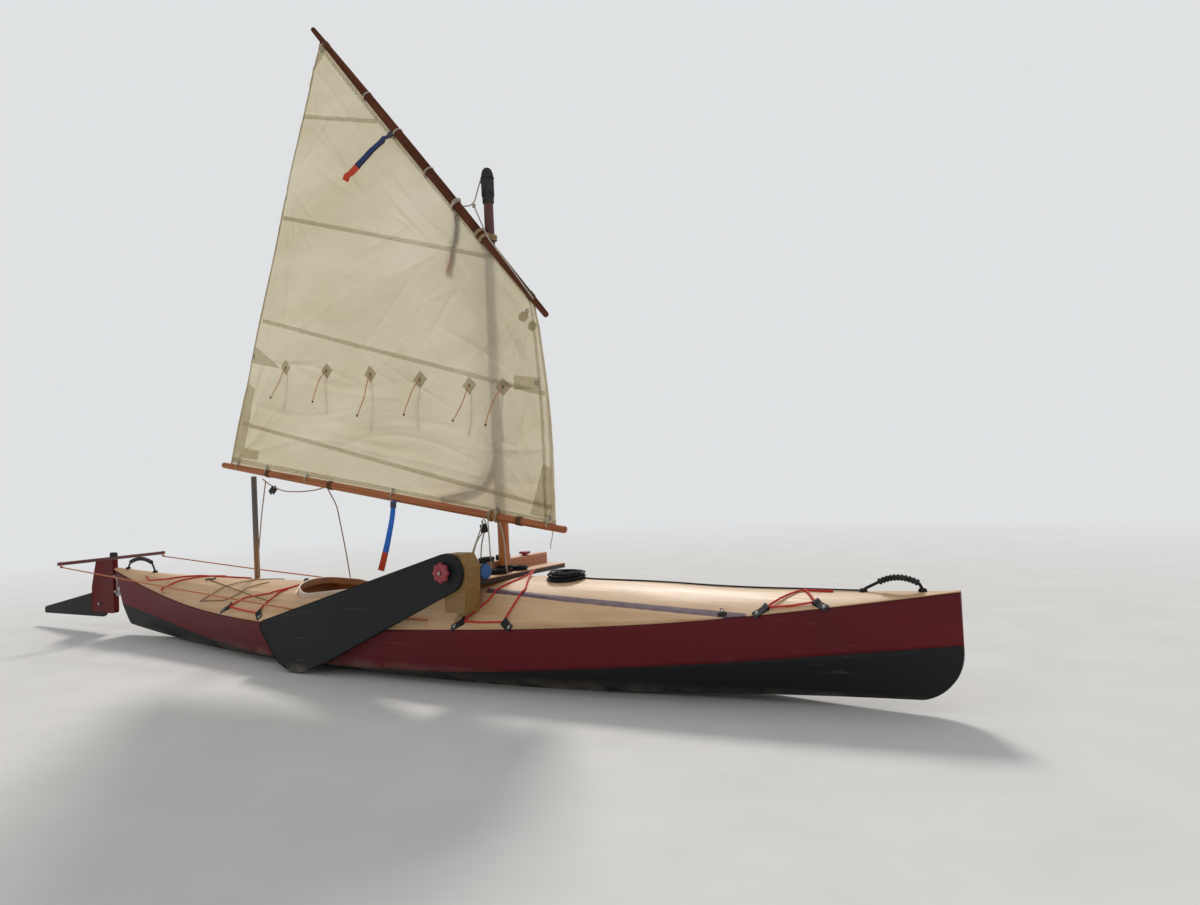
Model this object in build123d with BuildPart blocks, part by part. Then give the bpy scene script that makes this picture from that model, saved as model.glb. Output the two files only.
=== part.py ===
from build123d import *
import math
import os

import numpy as np

os.makedirs("parts", exist_ok=True)

# A decked plywood sailing kayak with a balanced lug rig, one leeboard and a lifting rudder.
# Millimetres. +X is the bow, +Y is port and +Z is up. The origin lies on the centreline, on the
# underside of the flat bottom, near the middle of the hull's length.

# Hull lines, one row for each design section, from the stern to the bow
HULL_COLUMNS = (
    "x", "sheer_half", "sheer_z", "chine_half", "chine_z", "flat_half", "flat_z",
    "seam_half", "side_slope", "crest_z",
)
HULL_ROWS = [
    (-2420, 14, 374, 12, 190, 5, 75, 9, 0.95, 392),
    (-1900, 115, 292, 95, 141, 30, 24, 60, 0.95, 364),
    (-1300, 225, 226, 195, 80, 115, 5, 120, 0.93, 355),
    (-650, 315, 200, 285, 40, 190, -2, 185, 0.88, 350),
    (150, 352, 216, 325, 46, 215, -3, 195, 0.88, 378),
    (600, 346, 235, 318, 65, 205, -3, 195, 0.93, 402),
    (1100, 306, 262, 277, 105, 165, 4, 195, 0.78, 406),
    (1600, 232, 300, 203, 147, 100, 24, 195, 0.70, 393),
    (2100, 112, 354, 95, 195, 34, 40, 195, 0.70, 390),
    (2455, 13, 398, 11, 231, 5, 50, 195, 0.70, 402),
]
frame_pitch = 300.0
seam_end_x = 1770.0
crown_strips = 6
glue_line = 0.3
plank_thickness = 6.0
deck_thickness = 5.0
bulkhead_thickness = 8.0
bow_x = 2455.0
stern_x = -2420.0
hull_top_z = 600.0
keel_flat_half = 1500.0
forefoot_radius = 165.0
forefoot_z = 47.0
forefoot_start = (1930.0, 33.0)
stern_rise = (-1900.0, 14.0)
stern_foot_x = -2262.0
stern_foot_z = 60.0
stern_foot_radius = 60.0
stern_top_z = 437.0
solid_bow_x = 2230.0
solid_stern_x = -2150.0
stem_block_length = 75.0

# Cockpit, mast and crossbeam
cockpit_aft_x = -600.0
cockpit_fore_x = 440.0
cockpit_aft_half = 222.0
cockpit_fore_half = 178.0
cockpit_aft_radius = 175.0
cockpit_fore_radius = 110.0
coaming_wall = 11.0
coaming_height = 22.0
coaming_depth = 6.0
deck_joint_x = 600.0
aft_bulkhead_x = -680.0
fore_bulkhead_x = 500.0
seat_x = -330.0
seat_length = 420.0
seat_half = 165.0
seat_thickness = 12.0
seat_rail_height = 14.0
seat_rail_width = 20.0
seat_rail_length = 336.0
seat_corner = 60.0
mast_x = 600.0
mast_radius = 24.0
mast_top_radius = 20.0
mast_top_z = 2175.0
mast_taper_z = 900.0
mast_fair_radius = 23.2
mast_hole_clearance = 1.5
step_size = 110.0
step_height = 32.0
step_floor = 6.0
step_corner = 10.0
masthead_height = 160.0
masthead_radius = 28.0
masthead_bore = 21.1
masthead_cap = 12.0
masthead_edge = 8.0
beam_half = 355.0
beam_plank_aft_x = 522.0
beam_plank_fore_x = 668.0
beam_plank_thickness = 22.0
beam_bar_width = 44.0
beam_bar_height = 48.0
beam_bar_aft_x = 524.0
beam_plank_edge = 3.0
beam_bar_edge = 6.0

# Leeboard and its cheek block
board_y = -364.0
board_thickness = 18.0
board_pivot_x = 600.0
board_pivot_z = 470.0
board_head_radius = 78.0
board_head_at = -8.0
board_head_up = -7.0
board_length = 1195.0
board_low_length = 1085.0
board_slope = 19.0
board_top_reach = 140.0
board_low_reach = 150.0
board_tip_radius = 190.0
board_corner_radius = 35.0
board_belly_radius = 300.0
board_belly_at = 800.0
board_edge = 4.0
cheek_thickness = 90.0
cheek_aft_x = 580.0
cheek_fore_x = 666.0
cheek_top_z = 539.0
cheek_chamfer_x = 30.0
cheek_chamfer_z = 50.0
cheek_foot_reach = 16.0
bolt_radius = 5.0
bolt_clearance = 0.1
bolt_head = 7.0
nut_radius = 10.0
nut_thickness = 8.0
knob_core_radius = 33.0
knob_lobe_radius = 9.0
knob_lobes = 8
knob_thickness = 20.0
knob_boss_radius = 20.0
knob_boss = 8.0
beam_knob_y = 215.0
beam_knob_scale = 0.55

# Rudder
rudder_axis_x = -2416.0
rudder_rest_turn = -1.0
case_gap = 14.0
case_fore_x = rudder_axis_x - case_gap
case_top_z = 437.0
case_low_z = 112.0
case_top_width = 190.0
case_waist_width = 250.0
case_waist_z = 270.0
case_corner_radius = 22.0
case_low_radius = 60.0
case_waist_radius = 10.0
case_top_radius = 6.0
case_hub_cover = 18.0
cheek_ply = 8.0
core_thickness = 14.0
core_front_width = 66.0
core_low_z = 268.0
core_aft_gap = 4.0
core_aft_height = 12.0
blade_thickness = 12.0
blade_pivot_x = case_fore_x - 162.0
blade_pivot_z = case_low_z + 53.0
blade_length = 715.0
blade_hub_radius = 82.0
blade_tip_top_z = blade_pivot_z - 46.0
blade_tip_height = 45.0
blade_tip_low_radius = 12.0
blade_tip_top_radius = 20.0
blade_edge = 3.0
blade_clearance = 3.0
case_low_width = case_fore_x - blade_pivot_x + blade_hub_radius + case_hub_cover
head_fitting_size = (44.0, 26.0, 26.0)
head_fitting_edge = 8.0
yoke_length = 650.0
yoke_width = 30.0
yoke_thickness = 18.0
yoke_corner = 8.0
yoke_hole_radius = 4.0
yoke_hole_inset = 15.0
pintle_radius = 4.0
pintle_clearance = 0.08
gudgeon_lug = 9.0
gudgeon_height = 16.0
gudgeon_z = (230.0, 325.0)
pintle_lug_height = 12.0
pintle_lug_wall = 3.0

# Spars and sail, all in one fore-and-aft plane beside the mast
parrel_rope = 4.0
rope_sides = 6
yard_radius = 21.0
yard_end_radius = 12.0
yard_heel = (924.0, 1485.0)
yard_peak = (-417.0, 3095.0)
boom_fore = (968.0, 609.0)
boom_aft = (-1253.0, 967.0)
boom_radius = 19.0
boom_end_radius = 15.0
spar_sides = 16
spar_rings = 9
sail_thickness = 4.0
sail_throat_at = 73.0
sail_peak_at = 2002.0
sail_tack_at = 52.0
sail_clew_at = 2149.0
luff_round = 30.0
sail_edge_points = 9

# Fittings on deck
post_x = -1120.0
post_y = 35.0
post_radius = 14.5
post_top_z = 898.0
handle_foot = 15.0
handle_foot_height = 6.0
handle_leg_radius = 5.0
handle_grip_radius = 10.0
handle_sides = 8
# Each handle: the x of its feet, the x of its grip's ends, the height of those, and its top
HANDLES = [
    ((2143.0, 2338.0), (2195.0, 2328.0), 424.0, 453.0),
    ((-2288.0, -2008.0), (-2262.0, -2040.0), 425.0, 458.0),
]
painter_radius = 3.0
PAINTER_POINTS = [Vector(x, y, z) for x, y, z in [
    (2127.7, 0.0, 394.8), (2048.0, 2.0, 394.3), (1962.0, 6.0, 393.8), (1881.0, 5.0, 393.4),
    (1792.0, -1.0, 393.9), (1708.0, -6.0, 395.1), (1617.0, -5.0, 396.7), (1534.0, 1.0, 398.2),
    (1446.0, 7.0, 400.8), (1360.0, 6.0, 403.4), (1271.0, -1.0, 406.2), (1187.0, -8.0, 407.7),
    (1106.0, -10.0, 408.5), (1026.6, -9.0, 409.4),
]]
coil_x = 935.0
coil_y = -22.0
coil_half_length = 92.0
coil_half_width = 74.0
coil_height = 34.0
coil_sides = 20


def section_plane(x):
    """A plane across the hull, with port along its own x and up along its own y."""
    return Plane(origin=(x, 0, 0), x_dir=(0, 1, 0), z_dir=(1, 0, 0))


def fair(x):
    """Smooth hull values at x, by a cubic through the design sections."""
    table = np.array(HULL_ROWS, float)
    at = table[:, 0]
    k = int(np.clip(np.searchsorted(at, x) - 1, 0, len(at) - 2))
    slope = np.gradient(table, at, axis=0)
    span = at[k + 1] - at[k]
    t = (x - at[k]) / span
    start = table[k] * (2 * t**3 - 3 * t**2 + 1) + table[k + 1] * (3 * t**2 - 2 * t**3)
    bend = slope[k] * (t**3 - 2 * t**2 + t) + slope[k + 1] * (t**3 - t**2)
    return start + span * bend


# The frames that the planks are bent over: evenly spaced, and one at each joint or piece carried
joint_x = [solid_stern_x, deck_joint_x, seam_end_x, solid_bow_x, bow_x - stem_block_length]
joint_x += [stern_x + stem_block_length, aft_bulkhead_x, fore_bulkhead_x]
joint_x += [cheek_aft_x, cheek_fore_x + cheek_foot_reach]
joint_x += [coil_x - coil_half_length - glue_line, coil_x + coil_half_length + glue_line]
even_x = np.linspace(stern_x, bow_x, int((bow_x - stern_x) / frame_pitch) + 1)
FRAME_X = sorted([x for x in even_x if min(abs(x - j) for j in joint_x) > 40] + joint_x)
FRAME_VALUES = np.array([fair(x) for x in FRAME_X])


class Form:
    """The built hull's values at x, straight between its frames."""

    def __init__(self, x):
        values = [np.interp(x, FRAME_X, FRAME_VALUES[:, k]) for k in range(len(HULL_COLUMNS))]
        for column, value in zip(HULL_COLUMNS, values):
            setattr(self, column, float(value))
        self.seam_half = min(self.seam_half, self.sheer_half - 1.0)
        edge = self.sheer_z + glue_line + deck_thickness
        self.deck_edge_z = edge
        self.seam_z = edge + (self.sheer_half - self.seam_half) * self.side_slope
        lowest = self.seam_z + 0.1 * self.seam_half
        highest = self.seam_z + 0.6 * self.seam_half
        self.crest_z = min(max(self.crest_z, lowest), highest)
        crown = self.crest_z - self.seam_z
        shares = np.linspace(-1, 1, crown_strips + 1)
        self.crown_line = [(t * self.seam_half, self.seam_z + crown * (1 - t * t)) for t in shares]

    def deck_line(self, lift=0.0):
        """The deck's top, (y, z), from the starboard edge to the port edge, raised by a lift."""
        edge = self.deck_edge_z
        line = [(-self.sheer_half, edge), *self.crown_line, (self.sheer_half, edge)]
        return [(y, z + lift) for y, z in line]

    def deck_z(self, y):
        """Height of the deck's top at y."""
        return float(np.interp(y, *zip(*self.deck_line())))


def frames_between(low, high):
    return [low] + [x for x in FRAME_X if low + 1 < x < high - 1] + [high]


def plate_up(ring_at, xs):
    """Adds a solid with flat faces between the closed outlines, (y, z), that a form has at each x."""
    join_rings([[Vector(x, y, z) for y, z in ring_at(Form(x))] for x in xs])


def join_rings(rings):
    """Adds a solid with flat faces between closed outlines with as many corners each. Each patch
    between two outlines is split along its shorter diagonal."""
    corners = [rings[0], rings[-1]]
    for low, high in zip(rings, rings[1:]):
        for a, b, c, d in zip(low, low[1:] + low[:1], high[1:] + high[:1], high):
            if (c - a).length <= (d - b).length:
                corners += [(a, b, c), (a, c, d)]
            else:
                corners += [(a, b, d), (b, c, d)]
    add(Solid(Shell([Face(Wire.make_polygon(points)) for points in corners])))


def bottom_ring(f):
    inner_half = f.chine_half - plank_thickness
    inner_flat = max(f.flat_half - plank_thickness / 2, 1.0)
    inner_z = f.flat_z + plank_thickness
    return [
        *bottom_solid_ring(f), (inner_half, f.chine_z), (inner_flat, inner_z),
        (-inner_flat, inner_z), (-inner_half, f.chine_z),
    ]


def bottom_solid_ring(f):
    return [
        (-f.chine_half, f.chine_z), (-f.flat_half, f.flat_z),
        (f.flat_half, f.flat_z), (f.chine_half, f.chine_z),
    ]


def plank_ring(f):
    low_z = f.chine_z + glue_line
    return [
        (f.chine_half, low_z), (f.sheer_half, f.sheer_z),
        (f.sheer_half - plank_thickness, f.sheer_z), (f.chine_half - plank_thickness, low_z),
    ]


def end_block_ring(f):
    inner_sheer = f.sheer_half - plank_thickness - glue_line
    inner_chine = f.chine_half - plank_thickness - glue_line
    low_z = f.chine_z + glue_line
    return [
        (-inner_chine, low_z), (inner_chine, low_z), (inner_sheer, f.sheer_z), (-inner_sheer, f.sheer_z),
    ]


def layer(line, low, high):
    """The closed outline between a line (y, z) raised by low and the same line raised by high."""
    return [(y, z + low) for y, z in line] + [(y, z + high) for y, z in reversed(line)]


def deck_middle_ring(f, low=-deck_thickness, high=0.0):
    half = f.seam_half - glue_line / 2
    return layer([(-half, f.seam_z), *f.crown_line[1:-1], (half, f.seam_z)], low, high)


def deck_side_ring(f):
    return layer([(f.seam_half + glue_line / 2, f.seam_z), f.deck_line()[-1]], -deck_thickness, 0.0)


def deck_whole_ring(f, low=-deck_thickness, high=0.0):
    return layer(f.deck_line(), low, high)


def inside_ring(f):
    wall = plank_thickness + glue_line
    flat = max(f.flat_half - wall, 1.0)
    chine = f.chine_half - wall
    sheer = f.sheer_half - wall
    roof = f.deck_line(-deck_thickness - 2 * glue_line)
    return [
        (-sheer, roof[0][1]), (-chine, f.chine_z), (-flat, f.flat_z + wall),
        (flat, f.flat_z + wall), (chine, f.chine_z), (sheer, roof[-1][1]), *roof[-2:0:-1],
    ]


def floor_over(low_x, high_x):
    """Where a piece between two frames or places stands on the bottom, inside the hull."""
    return max(Form(x).flat_z for x in frames_between(low_x, high_x)) + plank_thickness + glue_line


def deck_over(low_x, high_x, y=0.0):
    """Where a piece between two places stands on the deck, at y."""
    return max(Form(x).deck_z(y) for x in frames_between(low_x, high_x)) + glue_line


def cut_ends():
    """Keeps what lies inside the hull's side profile, with its raked stern and round forefoot."""
    with BuildSketch(Plane.XZ) as profile:
        with BuildLine() as outline:
            FilletPolyline(
                (bow_x, hull_top_z), (bow_x, forefoot_z), forefoot_start, radius=forefoot_radius,
            )
            Polyline(forefoot_start, (keel_flat_half, 0), (-keel_flat_half, 0))
            FilletPolyline(
                (-keel_flat_half, 0), stern_rise, (stern_foot_x, stern_foot_z),
                (stern_x, stern_top_z), radius=stern_foot_radius,
            )
            Polyline((stern_x, stern_top_z), (stern_x, hull_top_z), (bow_x, hull_top_z))
        make_face(outline.edges())
    extrude(profile.sketch, amount=hull_top_z, both=True, mode=Mode.INTERSECT)


def cut_mast_hole():
    with BuildSketch() as hole:
        with Locations((mast_x, 0)):
            Circle(mast_radius + mast_hole_clearance)
    extrude(hole.sketch, amount=hull_top_z, mode=Mode.SUBTRACT)


def cockpit_outline(inset):
    """The cockpit's rounded outline, drawn as a sketch on the ground plane, made smaller by inset."""
    with BuildSketch() as outline:
        with BuildLine() as line:
            Polyline(
                (cockpit_aft_x + inset, -cockpit_aft_half + inset),
                (cockpit_fore_x - inset, -cockpit_fore_half + inset),
                (cockpit_fore_x - inset, cockpit_fore_half - inset),
                (cockpit_aft_x + inset, cockpit_aft_half - inset), close=True,
            )
        make_face(line.edges())
        fillet(outline.vertices().group_by(Axis.X)[0], cockpit_aft_radius - inset)
        fillet(outline.vertices().group_by(Axis.X)[-1], cockpit_fore_radius - inset)
    return outline.sketch


def save(builder, name):
    builder.part.label = name
    export_step(builder.part, "parts/" + name + ".step")


# Bottom: a flat panel and two bilge panels, black below the chine, solid at both ends
with BuildPart() as bottom_shell:
    plate_up(bottom_ring, frames_between(solid_stern_x, solid_bow_x))
    plate_up(bottom_solid_ring, frames_between(solid_bow_x, bow_x))
    plate_up(bottom_solid_ring, frames_between(stern_x, solid_stern_x))
    cut_ends()
save(bottom_shell, "bottom_shell")

# Side planks, one a side
with BuildPart() as side_plank_port:
    plate_up(plank_ring, frames_between(stern_x, bow_x))
    cut_ends()
save(side_plank_port, "side_plank_port")
with BuildPart() as side_plank_starboard:
    add(mirror(side_plank_port.part, about=Plane.XZ, mode=Mode.PRIVATE))
save(side_plank_starboard, "side_plank_starboard")

# Stem and stern blocks between the planks' ends
with BuildPart() as stem_block:
    plate_up(end_block_ring, [bow_x - stem_block_length, bow_x])
    cut_ends()
save(stem_block, "stem_block")
with BuildPart() as stern_block:
    plate_up(end_block_ring, [stern_x, stern_x + stem_block_length])
    cut_ends()
save(stern_block, "stern_block")

# Foredeck: a crowned middle panel out to the stem, and a sloping panel on each side
with BuildPart() as foredeck_middle:
    plate_up(deck_middle_ring, frames_between(deck_joint_x + glue_line, bow_x))
    cut_mast_hole()
save(foredeck_middle, "foredeck_middle")
with BuildPart() as foredeck_side_port:
    plate_up(deck_side_ring, frames_between(deck_joint_x + glue_line, seam_end_x))
save(foredeck_side_port, "foredeck_side_port")
with BuildPart() as foredeck_side_starboard:
    add(mirror(foredeck_side_port.part, about=Plane.XZ, mode=Mode.PRIVATE))
save(foredeck_side_starboard, "foredeck_side_starboard")

# Aft deck: one crowned panel from the stern to the mast, with the cockpit's opening
with BuildPart() as aft_deck:
    plate_up(deck_whole_ring, frames_between(stern_x, deck_joint_x))
    with BuildSketch():
        add(cockpit_outline(0))
    extrude(amount=hull_top_z, mode=Mode.SUBTRACT)
    cut_mast_hole()
save(aft_deck, "aft_deck")

# Coaming: an upright rim inside the opening, its edges following the deck
with BuildPart() as coaming:
    plate_up(
        lambda f: deck_whole_ring(f, -deck_thickness - coaming_depth, coaming_height),
        frames_between(cockpit_aft_x - 20, cockpit_fore_x + 20),
    )
    with BuildSketch():
        add(cockpit_outline(glue_line))
        add(cockpit_outline(coaming_wall), mode=Mode.SUBTRACT)
    extrude(amount=hull_top_z, mode=Mode.INTERSECT)
save(coaming, "coaming")

# Bulkheads at the two ends of the cockpit
for name, x in [("aft_bulkhead", aft_bulkhead_x), ("fore_bulkhead", fore_bulkhead_x)]:
    with BuildPart() as bulkhead:
        plate_up(inside_ring, [x - bulkhead_thickness / 2, x + bulkhead_thickness / 2])
    save(bulkhead, name)

# Seat board on two rails
seat_low_z = floor_over(seat_x - seat_length / 2, seat_x + seat_length / 2)
with BuildPart() as seat:
    with BuildSketch(Plane.XY.offset(seat_low_z + seat_rail_height)):
        with Locations((seat_x, 0)):
            RectangleRounded(seat_length, 2 * seat_half, seat_corner)
    extrude(amount=seat_thickness)
    with BuildSketch(Plane.XY.offset(seat_low_z)):
        with Locations((seat_x, seat_half / 2), (seat_x, -seat_half / 2)):
            Rectangle(seat_rail_length, seat_rail_width)
    extrude(amount=seat_rail_height)
save(seat, "seat")

# Mast step on the bottom, bored for the mast's foot
step_low_z = floor_over(mast_x - step_size / 2, mast_x + step_size / 2)
mast_foot_z = step_low_z + step_floor + glue_line
with BuildPart() as mast_step:
    with BuildSketch(Plane.XY.offset(step_low_z)):
        with Locations((mast_x, 0)):
            RectangleRounded(step_size, step_size, step_corner)
    extrude(amount=step_height)
    with Locations((mast_x, 0, step_low_z + step_floor)):
        Cylinder(mast_radius + glue_line, step_height, mode=Mode.SUBTRACT,
                 align=(Align.CENTER, Align.CENTER, Align.MIN))
save(mast_step, "mast_step")

# Mast: parallel below, tapering above
with BuildPart() as mast:
    with BuildSketch(Plane.XZ):
        with BuildLine():
            Polyline(
                (mast_x + mast_top_radius, mast_top_z), (mast_x, mast_top_z), (mast_x, mast_foot_z),
                (mast_x + mast_radius, mast_foot_z), (mast_x + mast_radius, mast_taper_z),
            )
            Bezier(
                (mast_x + mast_radius, mast_taper_z),
                (mast_x + mast_fair_radius, (mast_taper_z + mast_top_z) / 2),
                (mast_x + mast_top_radius, mast_top_z),
            )
        make_face()
    revolve(axis=Axis((mast_x, 0, 0), (0, 0, 1)))
save(mast, "mast")

# Masthead cap: a sleeve with a closed, rounded top
cap_low_z = mast_top_z - masthead_height + masthead_cap
with BuildPart() as masthead:
    with Locations((mast_x, 0, cap_low_z)):
        Cylinder(masthead_radius, masthead_height, align=(Align.CENTER, Align.CENTER, Align.MIN))
    chamfer(masthead.edges().group_by(Axis.Z)[-1], masthead_edge)
    with Locations((mast_x, 0, cap_low_z)):
        Cylinder(masthead_bore, masthead_height - masthead_cap + glue_line, mode=Mode.SUBTRACT,
                 align=(Align.CENTER, Align.CENTER, Align.MIN))
save(masthead, "masthead")

# Crossbeam: a plank over the deck with the mast's partner hole, and a bar on it abaft the mast
plank_low_z = deck_over(beam_plank_aft_x, beam_plank_fore_x)
plank_top_z = plank_low_z + beam_plank_thickness
cheek_inner_y = board_y + glue_line + cheek_thickness
beam_low_y = cheek_inner_y + glue_line
beam_length = beam_half - beam_low_y
beam_middle_y = (beam_half + beam_low_y) / 2
beam_plank_width = beam_plank_fore_x - beam_plank_aft_x
with BuildPart() as beam_plank:
    with BuildSketch(Plane.XY.offset(plank_low_z)):
        with Locations((beam_plank_aft_x + beam_plank_width / 2, beam_middle_y)):
            Rectangle(beam_plank_width, beam_length)
        with Locations((mast_x, 0)):
            Circle(mast_radius + glue_line, mode=Mode.SUBTRACT)
    extrude(amount=beam_plank_thickness)
    chamfer(beam_plank.edges().filter_by(Axis.Y).group_by(Axis.Z)[-1], beam_plank_edge)
save(beam_plank, "beam_plank")
with BuildPart() as beam_bar:
    with BuildSketch(Plane.XY.offset(plank_top_z)):
        with Locations((beam_bar_aft_x + beam_bar_width / 2, beam_middle_y)):
            Rectangle(beam_bar_width, beam_length)
    extrude(amount=beam_bar_height)
    fillet(beam_bar.edges().filter_by(Axis.Y).group_by(Axis.Z)[-1], beam_bar_edge)
save(beam_bar, "beam_bar")

# Cheek block that carries the leeboard: it stands on the side deck and is bored for the bolt
cheek_foot_x = cheek_fore_x + cheek_foot_reach
cheek_low_z = deck_over(cheek_aft_x, cheek_foot_x, cheek_inner_y)
with BuildPart() as cheek_block:
    with BuildSketch(Plane.XZ.offset(-cheek_inner_y)):
        with BuildLine():
            Polyline(
                (cheek_aft_x, cheek_low_z), (cheek_foot_x, cheek_low_z),
                (cheek_fore_x + cheek_chamfer_x, cheek_top_z - cheek_chamfer_z),
                (cheek_fore_x, cheek_top_z), (cheek_aft_x, cheek_top_z), close=True,
            )
        make_face()
    extrude(amount=cheek_thickness)
    with BuildSketch(Plane.XZ.offset(-cheek_inner_y)):
        with Locations((board_pivot_x, board_pivot_z)):
            Circle(bolt_radius + bolt_clearance)
    extrude(amount=cheek_thickness, mode=Mode.SUBTRACT)
save(cheek_block, "cheek_block")


# Leeboard: a round head at the pivot, widening to a rounded tip, swung up and aft at rest
board_outer_y = board_y - board_thickness
tilt = math.radians(board_slope)
board_plane = Plane(
    origin=(board_pivot_x, board_y, board_pivot_z),
    x_dir=(-math.cos(tilt), 0, -math.sin(tilt)), z_dir=(0, 1, 0),
)
with BuildPart() as leeboard:
    with BuildSketch(board_plane):
        with BuildLine():
            FilletPolyline(
                (board_head_at, board_head_up + board_head_radius), (board_length, board_top_reach),
                (board_low_length, -board_low_reach), (board_belly_at, -board_low_reach),
                (board_head_at, board_head_up - board_head_radius),
                radius=[board_corner_radius, board_tip_radius, board_belly_radius],
            )
            ThreePointArc(
                (board_head_at, board_head_up - board_head_radius),
                (board_head_at - board_head_radius, board_head_up),
                (board_head_at, board_head_up + board_head_radius),
            )
        make_face()
        Circle(bolt_radius + bolt_clearance, mode=Mode.SUBTRACT)
    extrude(amount=-board_thickness)
    sides = leeboard.faces().filter_by(Axis.Y)
    chamfer([edge for side in sides for edge in side.outer_wire().edges()], board_edge)
save(leeboard, "leeboard")

# Leeboard bolt, with its head in the knob and its nut inside the cheek block
bolt_axis = Plane(origin=(board_pivot_x, board_outer_y, board_pivot_z), z_dir=(0, -1, 0))
knob_outer = knob_boss + knob_thickness + glue_line
bolt_reach = board_thickness + cheek_thickness + 2 * glue_line
with BuildPart() as leeboard_bolt:
    with BuildSketch(bolt_axis.offset(-bolt_reach - nut_thickness)):
        Circle(bolt_radius)
    extrude(amount=bolt_reach + nut_thickness + knob_outer)
    with BuildSketch(bolt_axis.offset(-bolt_reach - nut_thickness)):
        RegularPolygon(nut_radius, 6)
    extrude(amount=nut_thickness)
    with BuildSketch(bolt_axis.offset(knob_outer)):
        RegularPolygon(bolt_head, 6)
    extrude(amount=bolt_head / 2)
save(leeboard_bolt, "leeboard_bolt")


def add_knob(plane, scale):
    """Adds a lobed hand knob on a boss, bored for its bolt and standing on a plane."""
    with BuildSketch(plane) as boss:
        RegularPolygon(knob_boss_radius * scale, 2 * knob_lobes)
    with BuildSketch(plane.offset(knob_boss * scale)) as star:
        RegularPolygon(knob_core_radius * scale, 2 * knob_lobes)
        with PolarLocations(knob_core_radius * scale, knob_lobes):
            RegularPolygon(knob_lobe_radius * scale, knob_lobes)
    with BuildSketch(plane) as bore:
        Circle(bolt_radius + bolt_clearance)
    extrude(boss.sketch, amount=knob_boss * scale)
    extrude(star.sketch, amount=knob_thickness * scale)
    extrude(bore.sketch, amount=(knob_boss + knob_thickness) * scale, mode=Mode.SUBTRACT)


with BuildPart() as leeboard_knob:
    add_knob(bolt_axis.offset(glue_line), 1.0)
save(leeboard_knob, "leeboard_knob")

# Small knob that holds the crossbeam down on the deck near its port end, closed by its bolt's end
knob_place = Plane(origin=(
    beam_bar_aft_x + beam_bar_width / 2, beam_knob_y, plank_top_z + beam_bar_height + glue_line,
))
with BuildPart() as beam_knob:
    add_knob(knob_place, beam_knob_scale)
    with BuildSketch(knob_place):
        Circle(bolt_radius + bolt_clearance)
    extrude(amount=(knob_boss + knob_thickness) * beam_knob_scale)
save(beam_knob, "beam_knob")

# Rudder, drawn amidships and then turned about its pintles to its rest angle
rudder_axis = Axis((rudder_axis_x, 0, 0), (0, 0, 1))
case_half = core_thickness / 2 + cheek_ply
bolt_hole = bolt_radius + bolt_clearance


def turn_and_save(builder, name):
    turned = builder.part.rotate(rudder_axis, rudder_rest_turn)
    turned.label = name
    export_step(turned, "parts/" + name + ".step")


# Rudder case: two plywood cheeks on a core
with BuildPart() as rudder_cheek:
    with BuildSketch(Plane.XZ) as case_face:
        with BuildLine():
            FilletPolyline(
                (case_fore_x - core_front_width, case_low_z), (case_fore_x, case_low_z),
                (case_fore_x, case_top_z), (case_fore_x - case_top_width, case_top_z),
                (case_fore_x - case_waist_width, case_waist_z),
                (case_fore_x - case_low_width, case_low_z),
                radius=[case_corner_radius, case_top_radius, case_waist_radius, case_low_radius],
            )
            Line(
                (case_fore_x - case_low_width, case_low_z), (case_fore_x - core_front_width, case_low_z)
            )
        make_face()
        with Locations((blade_pivot_x, blade_pivot_z)):
            Circle(bolt_hole, mode=Mode.SUBTRACT)
    extrude(amount=cheek_ply)
for side, low_y in (("starboard", -core_thickness / 2), ("port", case_half)):
    with BuildPart() as placed_cheek:
        add(Plane(origin=(0, low_y, 0)) * rudder_cheek.part)
    turn_and_save(placed_cheek, "rudder_cheek_" + side)

with BuildPart() as rudder_core:
    with BuildSketch(Plane.XZ):
        with BuildLine():
            Polyline(
                (case_fore_x, case_low_z + case_corner_radius), (case_fore_x, case_top_z),
                (case_fore_x - case_top_width, case_top_z),
                (case_fore_x - case_waist_width + core_aft_gap, core_low_z + core_aft_height),
                (case_fore_x - case_waist_width + core_aft_gap, core_low_z),
                (case_fore_x - core_front_width, core_low_z),
                (case_fore_x - core_front_width, case_low_z + case_corner_radius), close=True,
            )
        make_face()
        with Locations((blade_pivot_x, blade_pivot_z)):
            Circle(blade_hub_radius + blade_clearance, mode=Mode.SUBTRACT)
    extrude(amount=core_thickness / 2 - glue_line / 2, both=True)
turn_and_save(rudder_core, "rudder_core")

# Rudder blade, lifted aft at rest: a round head on the bolt and a straight taper to its tip
blade_tip_x = blade_pivot_x - blade_length
blade_tip_low_z = blade_tip_top_z - blade_tip_height
with BuildPart() as rudder_blade:
    with BuildSketch(Plane.XZ):
        with Locations((blade_pivot_x, blade_pivot_z)):
            Circle(blade_hub_radius)
        with Locations((blade_tip_x + blade_tip_low_radius, blade_tip_low_z + blade_tip_low_radius)):
            Circle(blade_tip_low_radius)
        with Locations((blade_tip_x + blade_tip_top_radius, blade_tip_top_z - blade_tip_top_radius)):
            Circle(blade_tip_top_radius)
        make_hull()
        with Locations((blade_pivot_x, blade_pivot_z)):
            Circle(bolt_hole, mode=Mode.SUBTRACT)
    extrude(amount=blade_thickness / 2, both=True)
    sides = rudder_blade.faces().filter_by(Axis.Y)
    chamfer([edge for side in sides for edge in side.outer_wire().edges()], blade_edge)
turn_and_save(rudder_blade, "rudder_blade")

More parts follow.
